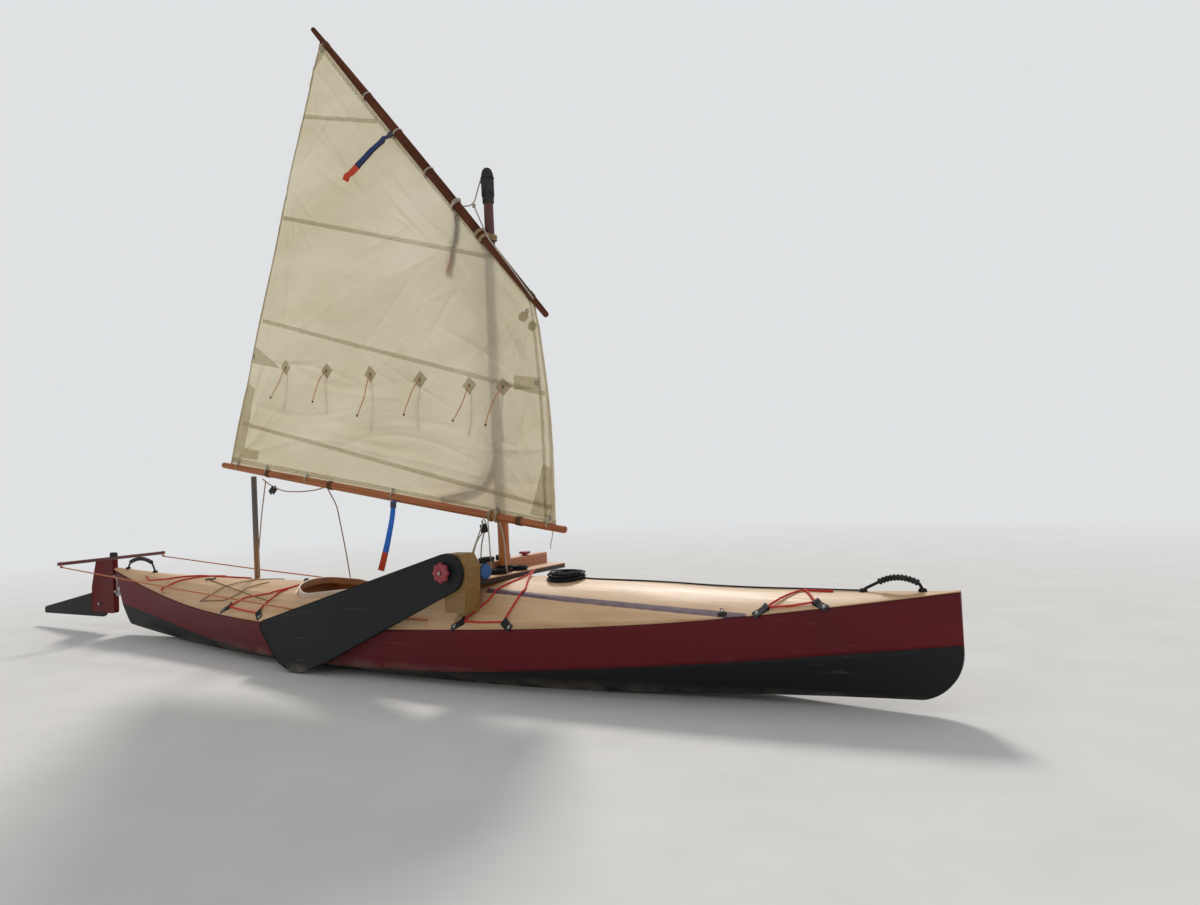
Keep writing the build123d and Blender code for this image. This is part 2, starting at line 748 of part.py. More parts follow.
with BuildPart() as blade_bolt:
    with BuildSketch(Plane.XZ.offset(-case_half - nut_thickness - glue_line)):
        with Locations((blade_pivot_x, blade_pivot_z)):
            Circle(bolt_radius)
    extrude(amount=2 * (case_half + nut_thickness + glue_line))
    for offset, length in ((-case_half - glue_line, -nut_thickness), (case_half + glue_line, nut_thickness)):
        with BuildSketch(Plane.XZ.offset(offset)):
            with Locations((blade_pivot_x, blade_pivot_z)):
                RegularPolygon(nut_radius, 6)
        extrude(amount=length)
turn_and_save(blade_bolt, "blade_bolt")

# Yoke across the rudder's top, with the fitting that clamps it
yoke_low_z = case_top_z + glue_line
yoke_x = case_fore_x - yoke_width / 2
with BuildPart() as yoke:
    with BuildSketch(Plane.XY.offset(yoke_low_z)):
        with Locations((yoke_x, 0)):
            RectangleRounded(yoke_width, yoke_length, yoke_corner)
        with Locations((yoke_x, 0)):
            with GridLocations(0, yoke_length - 2 * yoke_hole_inset, 1, 2):
                Circle(yoke_hole_radius, mode=Mode.SUBTRACT)
    extrude(amount=yoke_thickness)
turn_and_save(yoke, "yoke")
with BuildPart() as rudder_head:
    with Locations((yoke_x, 0, yoke_low_z + yoke_thickness + glue_line)):
        Box(*head_fitting_size, align=(Align.CENTER, Align.CENTER, Align.MIN))
    fillet(rudder_head.edges().group_by(Axis.Z)[-1], head_fitting_edge)
turn_and_save(rudder_head, "rudder_head")

# Gudgeons on the raked stern, and the pintle rod with its lugs on the rudder
stern_rake = (stern_x - stern_foot_x) / (stern_top_z - stern_foot_z)


def stern_face_x(z):
    return stern_foot_x + (z - stern_foot_z) * stern_rake


with BuildPart() as gudgeons:
    for z in gudgeon_z:
        low, high = z - gudgeon_height / 2, z + gudgeon_height / 2
        with BuildSketch(Plane.XZ):
            with BuildLine():
                Polyline(
                    (rudder_axis_x, low), (stern_face_x(low) - glue_line, low),
                    (stern_face_x(high) - glue_line, high), (rudder_axis_x, high), close=True,
                )
            make_face()
        extrude(amount=gudgeon_lug, both=True)
        with Locations((rudder_axis_x, 0, z)):
            Cylinder(gudgeon_lug, gudgeon_height)
            Cylinder(pintle_radius + pintle_clearance, gudgeon_height, mode=Mode.SUBTRACT)
save(gudgeons, "gudgeons")
with BuildPart() as pintle:
    rod_low = gudgeon_z[0] - gudgeon_height
    rod_high = gudgeon_z[1] + gudgeon_height / 2 + pintle_lug_height + glue_line
    with Locations((rudder_axis_x, 0, rod_low)):
        Cylinder(pintle_radius, rod_high - rod_low, align=(Align.CENTER, Align.CENTER, Align.MIN))
    for z in gudgeon_z:
        with Locations((case_fore_x + glue_line, 0, z + gudgeon_height / 2 + glue_line)):
            Box(case_gap + pintle_radius + pintle_lug_wall, 2 * case_half, pintle_lug_height,
                align=(Align.MIN, Align.CENTER, Align.MIN))
turn_and_save(pintle, "pintle")


# Spars: straight poles, thickest in the middle, with a fair taper to both ends
class Spar:
    """A pole from start to end, both given as (x, z), in the rig's fore-and-aft plane."""

    def __init__(self, start, end, middle_radius, end_radius):
        self.start = start
        self.middle_radius = middle_radius
        self.end_radius = end_radius
        self.length = math.dist(start, end)
        self.along = ((end[0] - start[0]) / self.length, (end[1] - start[1]) / self.length)

    def radius_at(self, distance):
        from_middle = 2 * distance / self.length - 1
        return self.middle_radius - (self.middle_radius - self.end_radius) * from_middle**2

    def beside(self, distance, offset):
        """The point (x, z) at a distance along the pole and an offset to its lower or aft side."""
        return (
            self.start[0] + self.along[0] * distance - self.along[1] * offset,
            self.start[1] + self.along[1] * distance + self.along[0] * offset,
        )

    def ring(self, distance):
        """The pole's outline at a distance along it, with a corner on the side where the sail is."""
        radius = self.radius_at(distance)
        corners = []
        for turn in np.linspace(0, 2 * math.pi, spar_sides, endpoint=False):
            x, z = self.beside(distance, radius * math.cos(turn))
            corners.append(Vector(x, spar_y + radius * math.sin(turn), z))
        return corners


spar_y = -(mast_radius + 2 * glue_line + 2 * parrel_rope + yard_radius)
yard_pole = Spar(yard_heel, yard_peak, yard_radius, yard_end_radius)
boom_pole = Spar(boom_fore, boom_aft, boom_radius, boom_end_radius)
for name, pole in (("yard", yard_pole), ("boom", boom_pole)):
    with BuildPart() as spar:
        join_rings([pole.ring(d) for d in np.linspace(0, pole.length, spar_rings)])
    save(spar, name)

# Parrels: rope rings round the mast, each with a short link out to its spar
with BuildPart() as parrels:
    for pole in (yard_pole, boom_pole):
        at_mast = (mast_x - pole.start[0]) / pole.along[0]
        ring_z = pole.beside(at_mast, 0)[1]
        ring_radius = mast_radius + glue_line + parrel_rope
        link_length = -spar_y - pole.radius_at(at_mast) - glue_line - ring_radius
        with BuildSketch(Plane(origin=(mast_x, 0, ring_z), x_dir=(1, 0, 0), z_dir=(0, -1, 0))) as rope:
            with Locations((ring_radius, 0)):
                RegularPolygon(parrel_rope, rope_sides)
        revolve(rope.sketch, axis=Axis((mast_x, 0, 0), (0, 0, 1)))
        with BuildSketch(Plane(origin=(mast_x, -ring_radius, ring_z), z_dir=(0, -1, 0))) as link:
            RegularPolygon(parrel_rope, rope_sides)
        extrude(link.sketch, amount=link_length)
save(parrels, "parrels")

# Sail: a thin four-sided sheet laced along both spars, with a rounded luff
head = [
    yard_pole.beside(d, yard_pole.radius_at(d) + glue_line)
    for d in np.linspace(sail_throat_at, sail_peak_at, sail_edge_points)
]
foot = [
    boom_pole.beside(d, -boom_pole.radius_at(d) - glue_line)
    for d in np.linspace(sail_clew_at, sail_tack_at, sail_edge_points)
]
luff_middle = ((head[0][0] + foot[-1][0]) / 2 + luff_round, (head[0][1] + foot[-1][1]) / 2)
with BuildPart() as sail:
    with BuildSketch(Plane.XZ.offset(-spar_y - sail_thickness / 2)):
        with BuildLine():
            Polyline(*head, *foot)
            ThreePointArc(foot[-1], luff_middle, head[0])
        make_face()
    extrude(amount=sail_thickness)
save(sail, "sail")

# Boom crutch: a post on the aft deck
post_foot_z = deck_over(post_x - post_radius, post_x + post_radius, post_y - post_radius)
with BuildPart() as boom_post:
    with Locations((post_x, post_y, post_foot_z)):
        Cylinder(post_radius, post_top_z - post_foot_z, align=(Align.CENTER, Align.CENTER, Align.MIN))
save(boom_post, "boom_post")

# Carrying handles: rope legs on round feet, with a tube for a grip
with BuildPart() as handles:
    for feet, grip_ends, shoulder_z, top_z in HANDLES:
        corners = []
        for x in feet:
            low = deck_over(x - handle_foot, x + handle_foot)
            with BuildSketch(Plane(origin=(x, 0, low))):
                RegularPolygon(handle_foot, 2 * handle_sides)
            extrude(amount=handle_foot_height)
            corners.append(Vector(x, 0, low + handle_foot_height))
        shoulders = [Vector(x, 0, shoulder_z) for x in grip_ends]
        for corner, shoulder in zip(corners, shoulders):
            with BuildSketch(Plane(origin=corner, z_dir=shoulder - corner)):
                RegularPolygon(handle_leg_radius, handle_sides)
            extrude(amount=(shoulder - corner).length)
        with BuildLine() as arch:
            middle_x = sum(grip_ends) / 2
            ThreePointArc(shoulders[0], (middle_x, 0, top_z - handle_grip_radius), shoulders[1])
        with BuildSketch(Plane(origin=arch.line @ 0, z_dir=arch.line % 0)):
            RegularPolygon(handle_grip_radius, handle_sides)
        sweep(path=arch.line)
save(handles, "handles")

# Painter: it lies along the deck from the bow handle's foot to a coil forward of the crossbeam
painter_turns = [
    (b - a).get_angle(c - b)
    for a, b, c in zip(PAINTER_POINTS, PAINTER_POINTS[1:], PAINTER_POINTS[2:])
]
painter_runs = [(b - a).length for a, b in zip(PAINTER_POINTS, PAINTER_POINTS[1:])]
painter_radii = [
    0.45 * min(run, next_run) / math.tan(math.radians(turn / 2))
    for run, next_run, turn in zip(painter_runs, painter_runs[1:], painter_turns)
]
print("painter's bends, mm:", [round(radius) for radius in painter_radii])
with BuildPart() as painter_line:
    with BuildLine() as painter_path:
        FilletPolyline(*PAINTER_POINTS, radius=painter_radii)
    with BuildSketch(Plane(origin=painter_path.line @ 0, z_dir=painter_path.line % 0)):
        RegularPolygon(painter_radius, rope_sides)
    sweep(path=painter_path.line)
save(painter_line, "painter_line")
coil_turn = [2 * math.pi * k / coil_sides for k in range(coil_sides)]
coil_outline = [(coil_half_length * math.cos(t), coil_half_width * math.sin(t)) for t in coil_turn]
with BuildPart() as painter_coil:
    plate_up(
        lambda f: deck_middle_ring(f, glue_line, glue_line + coil_height),
        frames_between(coil_x - coil_half_length - glue_line, coil_x + coil_half_length + glue_line),
    )
    with BuildSketch(Plane(origin=(coil_x, coil_y, 0))):
        with BuildLine() as coil_line:
            Polyline(*coil_outline, close=True)
        make_face(coil_line.edges())
    extrude(amount=hull_top_z, mode=Mode.INTERSECT)
save(painter_coil, "painter_coil")
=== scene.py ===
import math

import bmesh
import bpy
import numpy as np
from mathutils import Matrix, Vector


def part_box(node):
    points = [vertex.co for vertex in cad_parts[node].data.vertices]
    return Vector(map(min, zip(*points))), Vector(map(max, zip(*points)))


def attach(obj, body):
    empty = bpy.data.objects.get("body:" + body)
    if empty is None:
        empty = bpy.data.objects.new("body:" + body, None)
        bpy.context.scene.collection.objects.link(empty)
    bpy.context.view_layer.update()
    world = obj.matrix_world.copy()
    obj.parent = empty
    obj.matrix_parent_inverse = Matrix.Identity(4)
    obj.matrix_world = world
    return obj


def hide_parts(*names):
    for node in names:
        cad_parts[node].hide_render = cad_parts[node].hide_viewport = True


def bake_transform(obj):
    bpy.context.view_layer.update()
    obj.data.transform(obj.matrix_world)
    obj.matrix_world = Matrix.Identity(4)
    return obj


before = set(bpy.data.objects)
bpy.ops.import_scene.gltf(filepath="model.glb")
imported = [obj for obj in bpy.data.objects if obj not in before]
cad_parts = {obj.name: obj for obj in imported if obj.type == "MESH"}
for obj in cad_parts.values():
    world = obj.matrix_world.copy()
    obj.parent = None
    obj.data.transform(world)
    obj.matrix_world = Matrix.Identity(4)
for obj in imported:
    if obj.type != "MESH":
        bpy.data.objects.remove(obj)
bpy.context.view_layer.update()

# The hull's bottom: a narrow flat panel and two bilge panels of 6 mm plywood, glued edge to edge.
# Outside it is black bottom paint, scuffed where it drags over the shore; inside it is varnished.
HULL_COLUMNS = (
    "x", "sheer_half", "sheer_z", "chine_half", "chine_z", "flat_half", "flat_z",
    "seam_half", "side_slope", "crest_z",
)
HULL_STATIONS = np.array([
    (-2.420, 0.014, 0.374, 0.012, 0.190, 0.005, 0.075, 0.009, 0.95, 0.392),
    (-1.900, 0.115, 0.292, 0.095, 0.141, 0.030, 0.024, 0.060, 0.95, 0.364),
    (-1.300, 0.225, 0.226, 0.195, 0.080, 0.115, 0.005, 0.120, 0.93, 0.355),
    (-0.650, 0.315, 0.200, 0.285, 0.040, 0.190, -0.002, 0.185, 0.88, 0.350),
    (0.150, 0.352, 0.216, 0.325, 0.046, 0.215, -0.003, 0.195, 0.88, 0.378),
    (0.600, 0.346, 0.235, 0.318, 0.065, 0.205, -0.003, 0.195, 0.93, 0.402),
    (1.100, 0.306, 0.262, 0.277, 0.105, 0.165, 0.004, 0.195, 0.78, 0.406),
    (1.600, 0.232, 0.300, 0.203, 0.147, 0.100, 0.024, 0.195, 0.70, 0.393),
    (2.100, 0.112, 0.354, 0.095, 0.195, 0.034, 0.040, 0.195, 0.70, 0.390),
    (2.455, 0.013, 0.398, 0.011, 0.231, 0.005, 0.050, 0.195, 0.70, 0.402),
])
KEEL_LINE = np.array([(-1.9, 0.014), (-1.5, 0.0), (1.5, 0.0), (1.93, 0.033), (2.29, 0.0426)])
STERN_FOOT = (-2.262, 0.060)
STERN_TOP = (-2.420, 0.437)
stern_foot_round = 0.008
bow_x = 2.455
skin_fore_x = bow_x - 0.0001
forefoot_radius = 0.165
plank_thickness = 0.006
glue_line = 0.0003
bottom_aft_x = -2.312
hull_rows = 180
bilge_columns = 9


def hull_at(x):
    """Every hull line's value at each x: a cubic through the stations, each with its neighbours' slope."""
    at = HULL_STATIONS[:, 0]
    slope = np.gradient(HULL_STATIONS, at, axis=0)
    k = np.clip(np.searchsorted(at, x) - 1, 0, len(at) - 2)
    span = (at[k + 1] - at[k])[:, None]
    t = (x - at[k])[:, None] / span
    value = HULL_STATIONS[k] * (2 * t**3 - 3 * t**2 + 1) + HULL_STATIONS[k + 1] * (3 * t**2 - 2 * t**3)
    value += span * (slope[k] * (t**3 - 2 * t**2 + t) + slope[k + 1] * (t**3 - t**2))
    return dict(zip(HULL_COLUMNS, value.T))


def keel_z(x):
    """Height of the hull's lowest line: straight runs, a quarter round at the forefoot, and at the
    stern the greater of the keel's rise and the raked stern, rounded where they meet."""
    level = np.interp(x, KEEL_LINE[:, 0], KEEL_LINE[:, 1])
    reach = np.clip(x - (bow_x - forefoot_radius), 0, forefoot_radius)
    level += forefoot_radius - np.sqrt(forefoot_radius**2 - reach**2)
    rise = (STERN_FOOT[1] - KEEL_LINE[0, 1]) / (STERN_FOOT[0] - KEEL_LINE[0, 0])
    level += rise * np.minimum(x - KEEL_LINE[0, 0], 0)
    rake = (STERN_TOP[1] - STERN_FOOT[1]) / (STERN_TOP[0] - STERN_FOOT[0])
    stern = STERN_FOOT[1] + rake * (x - STERN_FOOT[0])
    return stern_foot_round * np.logaddexp(level / stern_foot_round, stern / stern_foot_round)


def stations(low, high, count):
    """Places from low to high, by a cosine, so that they stand closer at both ends."""
    return (low + high) / 2 - (high - low) / 2 * np.cos(np.linspace(0, np.pi, count))


def lattice(points, around=False, capped=False, slot=0):
    """A surface over points (rows, columns, 3), a quad between each four neighbours, facing along
    row step x column step. around joins the last column to the first, and capped closes both end
    rows. Its map runs 0 to 1 across the columns and in metres along the rows."""
    rows, columns = points.shape[:2]
    number = np.arange(rows * columns).reshape(rows, columns)
    if around:
        number = np.hstack([number, number[:, :1]])
    along = np.concatenate([[0], np.cumsum(np.linalg.norm(np.diff(points, axis=0), axis=2).mean(1))])
    uv = np.stack(np.meshgrid(np.linspace(0, 1, number.shape[1]), along), -1)
    corners = [(slice(None, -1), slice(None, -1)), (slice(1, None), slice(None, -1)),
               (slice(1, None), slice(1, None)), (slice(None, -1), slice(1, None))]
    faces = np.stack([number[c] for c in corners], -1).reshape(-1, 4).tolist()
    maps = np.stack([uv[c] for c in corners], 2).reshape(-1, 2)
    if capped:
        faces += [number[0, :columns].tolist(), number[-1, :columns][::-1].tolist()]
        maps = np.vstack([maps, np.zeros((2 * columns, 2))])
    return points.reshape(-1, 3), faces, maps, slot


def piece(name, shapes, materials, body=None, replaced=(), slot=None, sharp=35.0, skin=False):
    """One object made of several surfaces, its doubles merged, smooth but for edges over sharp degrees.
    Closed surfaces face outwards; a skin keeps the side that its points gave it."""
    mesh = bpy.data.meshes.new(name)
    starts = np.cumsum([0] + [len(s[0]) for s in shapes])
    faces = [[start + i for i in face] for s, start in zip(shapes, starts) for face in s[1]]
    mesh.from_pydata(np.vstack([s[0] for s in shapes]).tolist(), [], faces)
    mesh.uv_layers.new(name="UVMap").data.foreach_set("uv", np.vstack([s[2] for s in shapes]).ravel())
    mesh.polygons.foreach_set("material_index", np.concatenate([np.full(len(s[1]), s[3]) for s in shapes]))
    work = bmesh.new()
    work.from_mesh(mesh)
    bmesh.ops.remove_doubles(work, verts=work.verts, dist=1e-6)
    if not skin:
        bmesh.ops.recalc_face_normals(work, faces=work.faces)
    work.to_mesh(mesh)
    work.free()
    mesh.polygons.foreach_set("use_smooth", np.ones(len(mesh.polygons), bool))
    mesh.set_sharp_from_angle(angle=math.radians(sharp))
    for material in materials:
        mesh.materials.append(material)
    made = bpy.data.objects.new(name, mesh)
    bpy.context.scene.collection.objects.link(made)
    if body:
        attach(made, body)
    if replaced:
        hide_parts(*replaced)
    return made


def thicken(made, thickness, inside_slot=0):
    """Gives a skin its wall, inwards, with the inner face in another of its materials."""
    wall = made.modifiers.new("wall", "SOLIDIFY")
    wall.thickness = thickness
    wall.offset = -1
    wall.material_offset = inside_slot


def rgb(code):
    """A colour written as six hex digits, as a screen shows it, made linear."""
    level = np.array([int(code[i:i + 2], 16) / 255 for i in (0, 2, 4)])
    linear = np.where(level > 0.04045, ((level + 0.055) / 1.055) ** 2.4, level / 12.92)
    return (*linear.tolist(), 1.0)


def put(tree, kind, settings=None, **inputs):
    """Adds a shader node. An input is linked to a socket or holds a value; i0 means its first input."""
    made = tree.nodes.new("ShaderNode" + kind)
    for key, value in (settings or {}).items():
        setattr(made, key, value)
    for key, value in inputs.items():
        socket = made.inputs[int(key[1:]) if key[0] == "i" and key[1:].isdigit() else key.replace("_", " ")]
        if isinstance(value, bpy.types.NodeSocket):
            tree.links.new(value, socket)
        else:
            socket.default_value = value
    return made


def sums(tree, operation, a, b=0.0, c=0.0, clamp=False):
    """A sum on one or more values."""
    return put(tree, "Math", {"operation": operation, "use_clamp": clamp}, i0=a, i1=b, i2=c).outputs[0]


def times(tree, a, b):
    """The product of two values."""
    return sums(tree, "MULTIPLY", a, b)


def blended(tree, share, a, b, how="MIX"):
    """Two colours mixed by a share."""
    return put(tree, "Mix", {"data_type": "RGBA", "blend_type": how}, i0=share, i6=a, i7=b).outputs[2]


def noise(tree, vector, scale, detail=3.0, stretch=(1.0, 1.0, 1.0), rough=0.55):
    """Noise of a scale per metre, with the space stretched along its axes."""
    space = put(tree, "Mapping", Vector=vector, Scale=stretch).outputs[0]
    return put(tree, "TexNoise", Vector=space, Scale=scale, Detail=detail, Roughness=rough).outputs[0]


def spread(tree, value, low, high, to_low=0.0, to_high=1.0):
    """A value's range low to high carried over to another, and held there."""
    return put(tree, "MapRange", i0=value, i1=low, i2=high, i3=to_low, i4=to_high).outputs[0]


def new_group(name, inputs, outputs):
    """An empty shader node group with named sockets: its tree, what it is given and what it puts out."""
    tree = bpy.data.node_groups.new(name, "ShaderNodeTree")
    for label, kind, default in inputs:
        socket = tree.interface.new_socket(label, in_out="INPUT", socket_type="NodeSocket" + kind)
        socket.default_value = default
    for label, kind in outputs:
        tree.interface.new_socket(label, in_out="OUTPUT", socket_type="NodeSocket" + kind)
    given = tree.nodes.new("NodeGroupInput").outputs
    return tree, given, tree.nodes.new("NodeGroupOutput").inputs


def use_group(tree, group, **inputs):
    """Places a shader node group, with its inputs linked or set."""
    return put(tree, "Group", {"node_tree": group}, **inputs).outputs


def finish(name, **fixed):
    """A material with one Principled surface, with the numbers that are the same all over set on it."""
    material = bpy.data.materials.new(name)
    material.use_nodes = True
    surface = material.node_tree.nodes["Principled BSDF"]
    for key, value in fixed.items():
        surface.inputs[key.replace("_", " ")].default_value = value
    return material, material.node_tree, surface


def join_up(tree, surface, colour, rough=None, height=None, depth=0.001, strength=0.5):
    """Feeds a surface its colour, roughness and a bump of some depth in metres."""
    tree.links.new(colour, surface.inputs["Base Color"])
    if rough is not None:
        tree.links.new(rough, surface.inputs["Roughness"])
    if height is not None:
        bump = put(tree, "Bump", Height=height, Distance=depth, Strength=strength)
        tree.links.new(bump.outputs[0], surface.inputs["Normal"])


def here(tree):
    """The place of a point of the piece, in metres in the boat's frame."""
    return put(tree, "TexCoord").outputs["Object"]


def parts(tree, place):
    """A place's x, y and z."""
    return put(tree, "SeparateXYZ", Vector=place).outputs


def paint_wear_group():
    """Brushed paint: soft blotches, a fine speckle, long thin scratches, and a film of dust that
    thickens below a height."""
    tree, given, out = new_group("Paint wear", [
        ("Vector", "Vector", (0, 0, 0)), ("Paint", "Color", (0.5, 0.5, 0.5, 1)),
        ("Scuffed", "Color", (0.6, 0.6, 0.6, 1)), ("Dust", "Color", (0.5, 0.45, 0.4, 1)),
        ("Scratches", "Float", 0.3), ("Dust height", "Float", 0.1), ("Roughness", "Float", 0.45),
    ], [("Color", "Color"), ("Roughness", "Float"), ("Height", "Float")])
    place = given["Vector"]
    blotch = noise(tree, place, 2.6, 4.0, (0.5, 1.0, 1.0))
    speckle = noise(tree, place, 420.0, 2.0)
    brush = noise(tree, place, 60.0, 3.0, (0.05, 1.0, 1.0))
    line = noise(tree, place, 34.0, 2.0, (0.06, 1.0, 1.3))
    patchy = noise(tree, place, 4.0, 2.0)
    scratch = times(tree, spread(tree, line, 0.63, 0.68), spread(tree, patchy, 0.48, 0.62))
    scratch = times(tree, scratch, given["Scratches"])
    high = parts(tree, place)[2]
    film = sums(tree, "DIVIDE", high, given["Dust height"])
    film = spread(tree, film, 0.0, 1.0, 1.0, 0.0)
    film = times(tree, film, spread(tree, noise(tree, place, 9.0, 5.0), 0.35, 0.7))
    deeper = blended(tree, 1.0, given["Paint"], (0.80, 0.80, 0.80, 1), "MULTIPLY")
    lighter = blended(tree, 1.0, given["Paint"], (1.12, 1.12, 1.12, 1), "MULTIPLY")
    colour = blended(tree, spread(tree, blotch, 0.3, 0.7), deeper, lighter)
    colour = blended(tree, spread(tree, speckle, 0.5, 0.75, 0.0, 0.16), colour, given["Scuffed"])
    colour = blended(tree, scratch, colour, given["Scuffed"])
    colour = blended(tree, film, colour, given["Dust"])
    tree.links.new(colour, out["Color"])
    rough = sums(tree, "ADD", given["Roughness"], spread(tree, blotch, 0.3, 0.7, -0.06, 0.08))
    rough = sums(tree, "ADD", rough, times(tree, film, 0.3), clamp=True)
    tree.links.new(rough, out["Roughness"])
    relief = sums(tree, "ADD", times(tree, brush, 0.6), times(tree, speckle, 0.25))
    tree.links.new(sums(tree, "SUBTRACT", relief, scratch), out["Height"])
    return tree


paint_wear = paint_wear_group()


def painted(name, paint, scuffed, scratches=0.3, dust_height=0.1, rough=0.45, **fixed):
    """A brushed paint finish, from the paint wear group."""
    material, tree, surface = finish(name, **fixed)
    toned = use_group(tree, paint_wear, Vector=here(tree), Paint=rgb(paint), Scuffed=rgb(scuffed),
                     Dust=rgb("8f8577"), Scratches=scratches, Dust_height=dust_height, Roughness=rough)
    join_up(tree, surface, toned["Color"], toned["Roughness"], toned["Height"], 0.0006, 0.35)
    return material


def wood_group():
    """Wood along x: broad figure from the contours of a stretched noise, streaks, and fine pores."""
    tree, given, out = new_group("Wood grain", [
        ("Vector", "Vector", (0, 0, 0)), ("Pale", "Color", (0.6, 0.4, 0.2, 1)),
        ("Dark", "Color", (0.3, 0.2, 0.1, 1)), ("Figure", "Float", 1.0), ("Streaks", "Float", 0.5),
        ("Roughness", "Float", 0.4),
    ], [("Color", "Color"), ("Roughness", "Float"), ("Height", "Float")])
    place = given["Vector"]
    swell = noise(tree, place, 1.0, 2.0, (0.55, 6.0, 6.0), 0.4)
    rings = times(tree, times(tree, swell, given["Figure"]), 22.0)
    rings = sums(tree, "PINGPONG", rings, 1.0)
    rings = spread(tree, rings, 0.15, 0.95)
    streak = noise(tree, place, 1.0, 3.0, (2.2, 110.0, 110.0), 0.6)
    pores = noise(tree, place, 1.0, 2.0, (22.0, 950.0, 950.0), 0.5)
    cloud = noise(tree, place, 2.2, 3.0, (0.6, 1.5, 1.5), 0.5)
    dark = times(tree, rings, 0.42)
    dark = sums(tree, "ADD", dark, times(tree, spread(tree, streak, 0.35, 0.7), given["Streaks"]))
    dark = sums(tree, "ADD", dark, spread(tree, cloud, 0.35, 0.7, -0.14, 0.18))
    colour = blended(tree, sums(tree, "MINIMUM", dark, 1.0, clamp=True), given["Pale"], given["Dark"])
    darker = blended(tree, 1.0, colour, (0.72, 0.68, 0.62, 1), "MULTIPLY")
    colour = blended(tree, spread(tree, pores, 0.56, 0.75, 0.0, 0.55), colour, darker)
    tree.links.new(colour, out["Color"])
    rough = sums(tree, "ADD", given["Roughness"], spread(tree, streak, 0.3, 0.7, -0.05, 0.08), clamp=True)
    tree.links.new(rough, out["Roughness"])
    pits = spread(tree, pores, 0.5, 0.8, 0, 0.6)
    relief = sums(tree, "SUBTRACT", times(tree, streak, 0.5), pits)
    tree.links.new(relief, out["Height"])
    return tree


wood_grain = wood_group()


def grain(tree, place, pale, dark, figure=1.0, streaks=0.5, rough=0.4):
    """The wood grain group, with its two colours as hex digits."""
    return use_group(tree, wood_grain, Vector=place, Pale=rgb(pale), Dark=rgb(dark), Figure=figure,
                     Streaks=streaks, Roughness=rough)


def wooden(name, pale, dark, figure=1.0, streaks=0.5, rough=0.4, turn=(0.0, 0.0, 0.0), **fixed):
    """A wood finish. turn, in degrees, lays its grain along another direction than the boat's length."""
    material, tree, surface = finish(name, **fixed)
    space = put(tree, "Mapping", Vector=here(tree), Rotation=[math.radians(a) for a in turn]).outputs[0]
    wood = grain(tree, space, pale, dark, figure, streaks, rough)
    join_up(tree, surface, wood["Color"], wood["Roughness"], wood["Height"], 0.0004, 0.4)
    return material


bottom_paint = painted("black bottom paint", "17181a", "4a4844", 0.5, 0.06, 0.55, Specular_IOR_Level=0.3)
bare_ply = wooden("varnished plywood inside", "b98a5c", "93653d", 0.8, 0.4, 0.45)
x = stations(bottom_aft_x, skin_fore_x, hull_rows)
lines = hull_at(x)
edge_z = np.clip(keel_z(x), lines["flat_z"], lines["chine_z"])
share = (lines["chine_z"] - edge_z) / (lines["chine_z"] - lines["flat_z"])
edge_half = lines["chine_half"] + (lines["flat_half"] - lines["chine_half"]) * share
bilge = np.linspace(0, 1, bilge_columns)
half_y = lines["chine_half"][:, None] + (edge_half - lines["chine_half"])[:, None] * bilge
half_z = lines["chine_z"][:, None] + (edge_z - lines["chine_z"])[:, None] * bilge
across = np.hstack([half_y, -half_y[:, ::-1]])
height = np.hstack([half_z, half_z[:, ::-1]])
skin = np.stack([np.broadcast_to(x[:, None], across.shape), across, height], -1)
bottom = piece("bottom", [lattice(skin)], [bottom_paint, bare_ply], "hull", ["bottom_shell"],
               "bottom_paint", sharp=12, skin=True)
thicken(bottom, plank_thickness, 1)

# The side planks: one wide plywood panel a side, from the chine up to the deck's edge, painted dark
# red, satin and finely scratched. The planks meet on a block at each end of the boat.
plank_columns = 14
plank_aft_x = -2.3915
side_paint = painted("dark red side paint", "64141b", "7c3236", 0.4, 0.09, 0.5, Specular_IOR_Level=0.25)
x = stations(plank_aft_x, skin_fore_x, hull_rows)
lines = hull_at(x)
low_z = np.clip(keel_z(x), lines["chine_z"] + glue_line, lines["sheer_z"])
share = (low_z - lines["chine_z"]) / (lines["sheer_z"] - lines["chine_z"])
low_half = lines["chine_half"] + (lines["sheer_half"] - lines["chine_half"]) * share
up = np.linspace(0, 1, plank_columns)
plank_half = low_half[:, None] + (lines["sheer_half"] - low_half)[:, None] * up
plank_z = low_z[:, None] + (lines["sheer_z"] - low_z)[:, None] * up
plank_x = np.broadcast_to(x[:, None], plank_half.shape)
starboard_skin = np.stack([plank_x, -plank_half, plank_z], -1)
port_skin = np.stack([plank_x, plank_half, plank_z], -1)[:, ::-1]
for side, skin in (("starboard", starboard_skin), ("port", port_skin)):
    plank = piece("side_" + side, [lattice(skin)], [side_paint, bare_ply], "hull",
                  ["side_plank_" + side], "side_paint", skin=True)
    thicken(plank, plank_thickness, 1)


def dress(material, *nodes):
    """Gives CAD nodes that keep their own shape a material."""
    for node in nodes:
        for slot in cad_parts[node].material_slots:
            slot.material = material


dress(side_paint, "stem_block", "stern_block")

# What shows down the cockpit: two bulkheads, the seat board on its rails and the block that takes
# the mast's foot. All are plywood, varnished in the shop and dull with use.
dress(bare_ply, "aft_bulkhead", "fore_bulkhead", "mast_step")
seat_ply = wooden("seat plywood", "c19263", "9c6c42", 0.9, 0.5, 0.5)
dress(seat_ply, "seat")

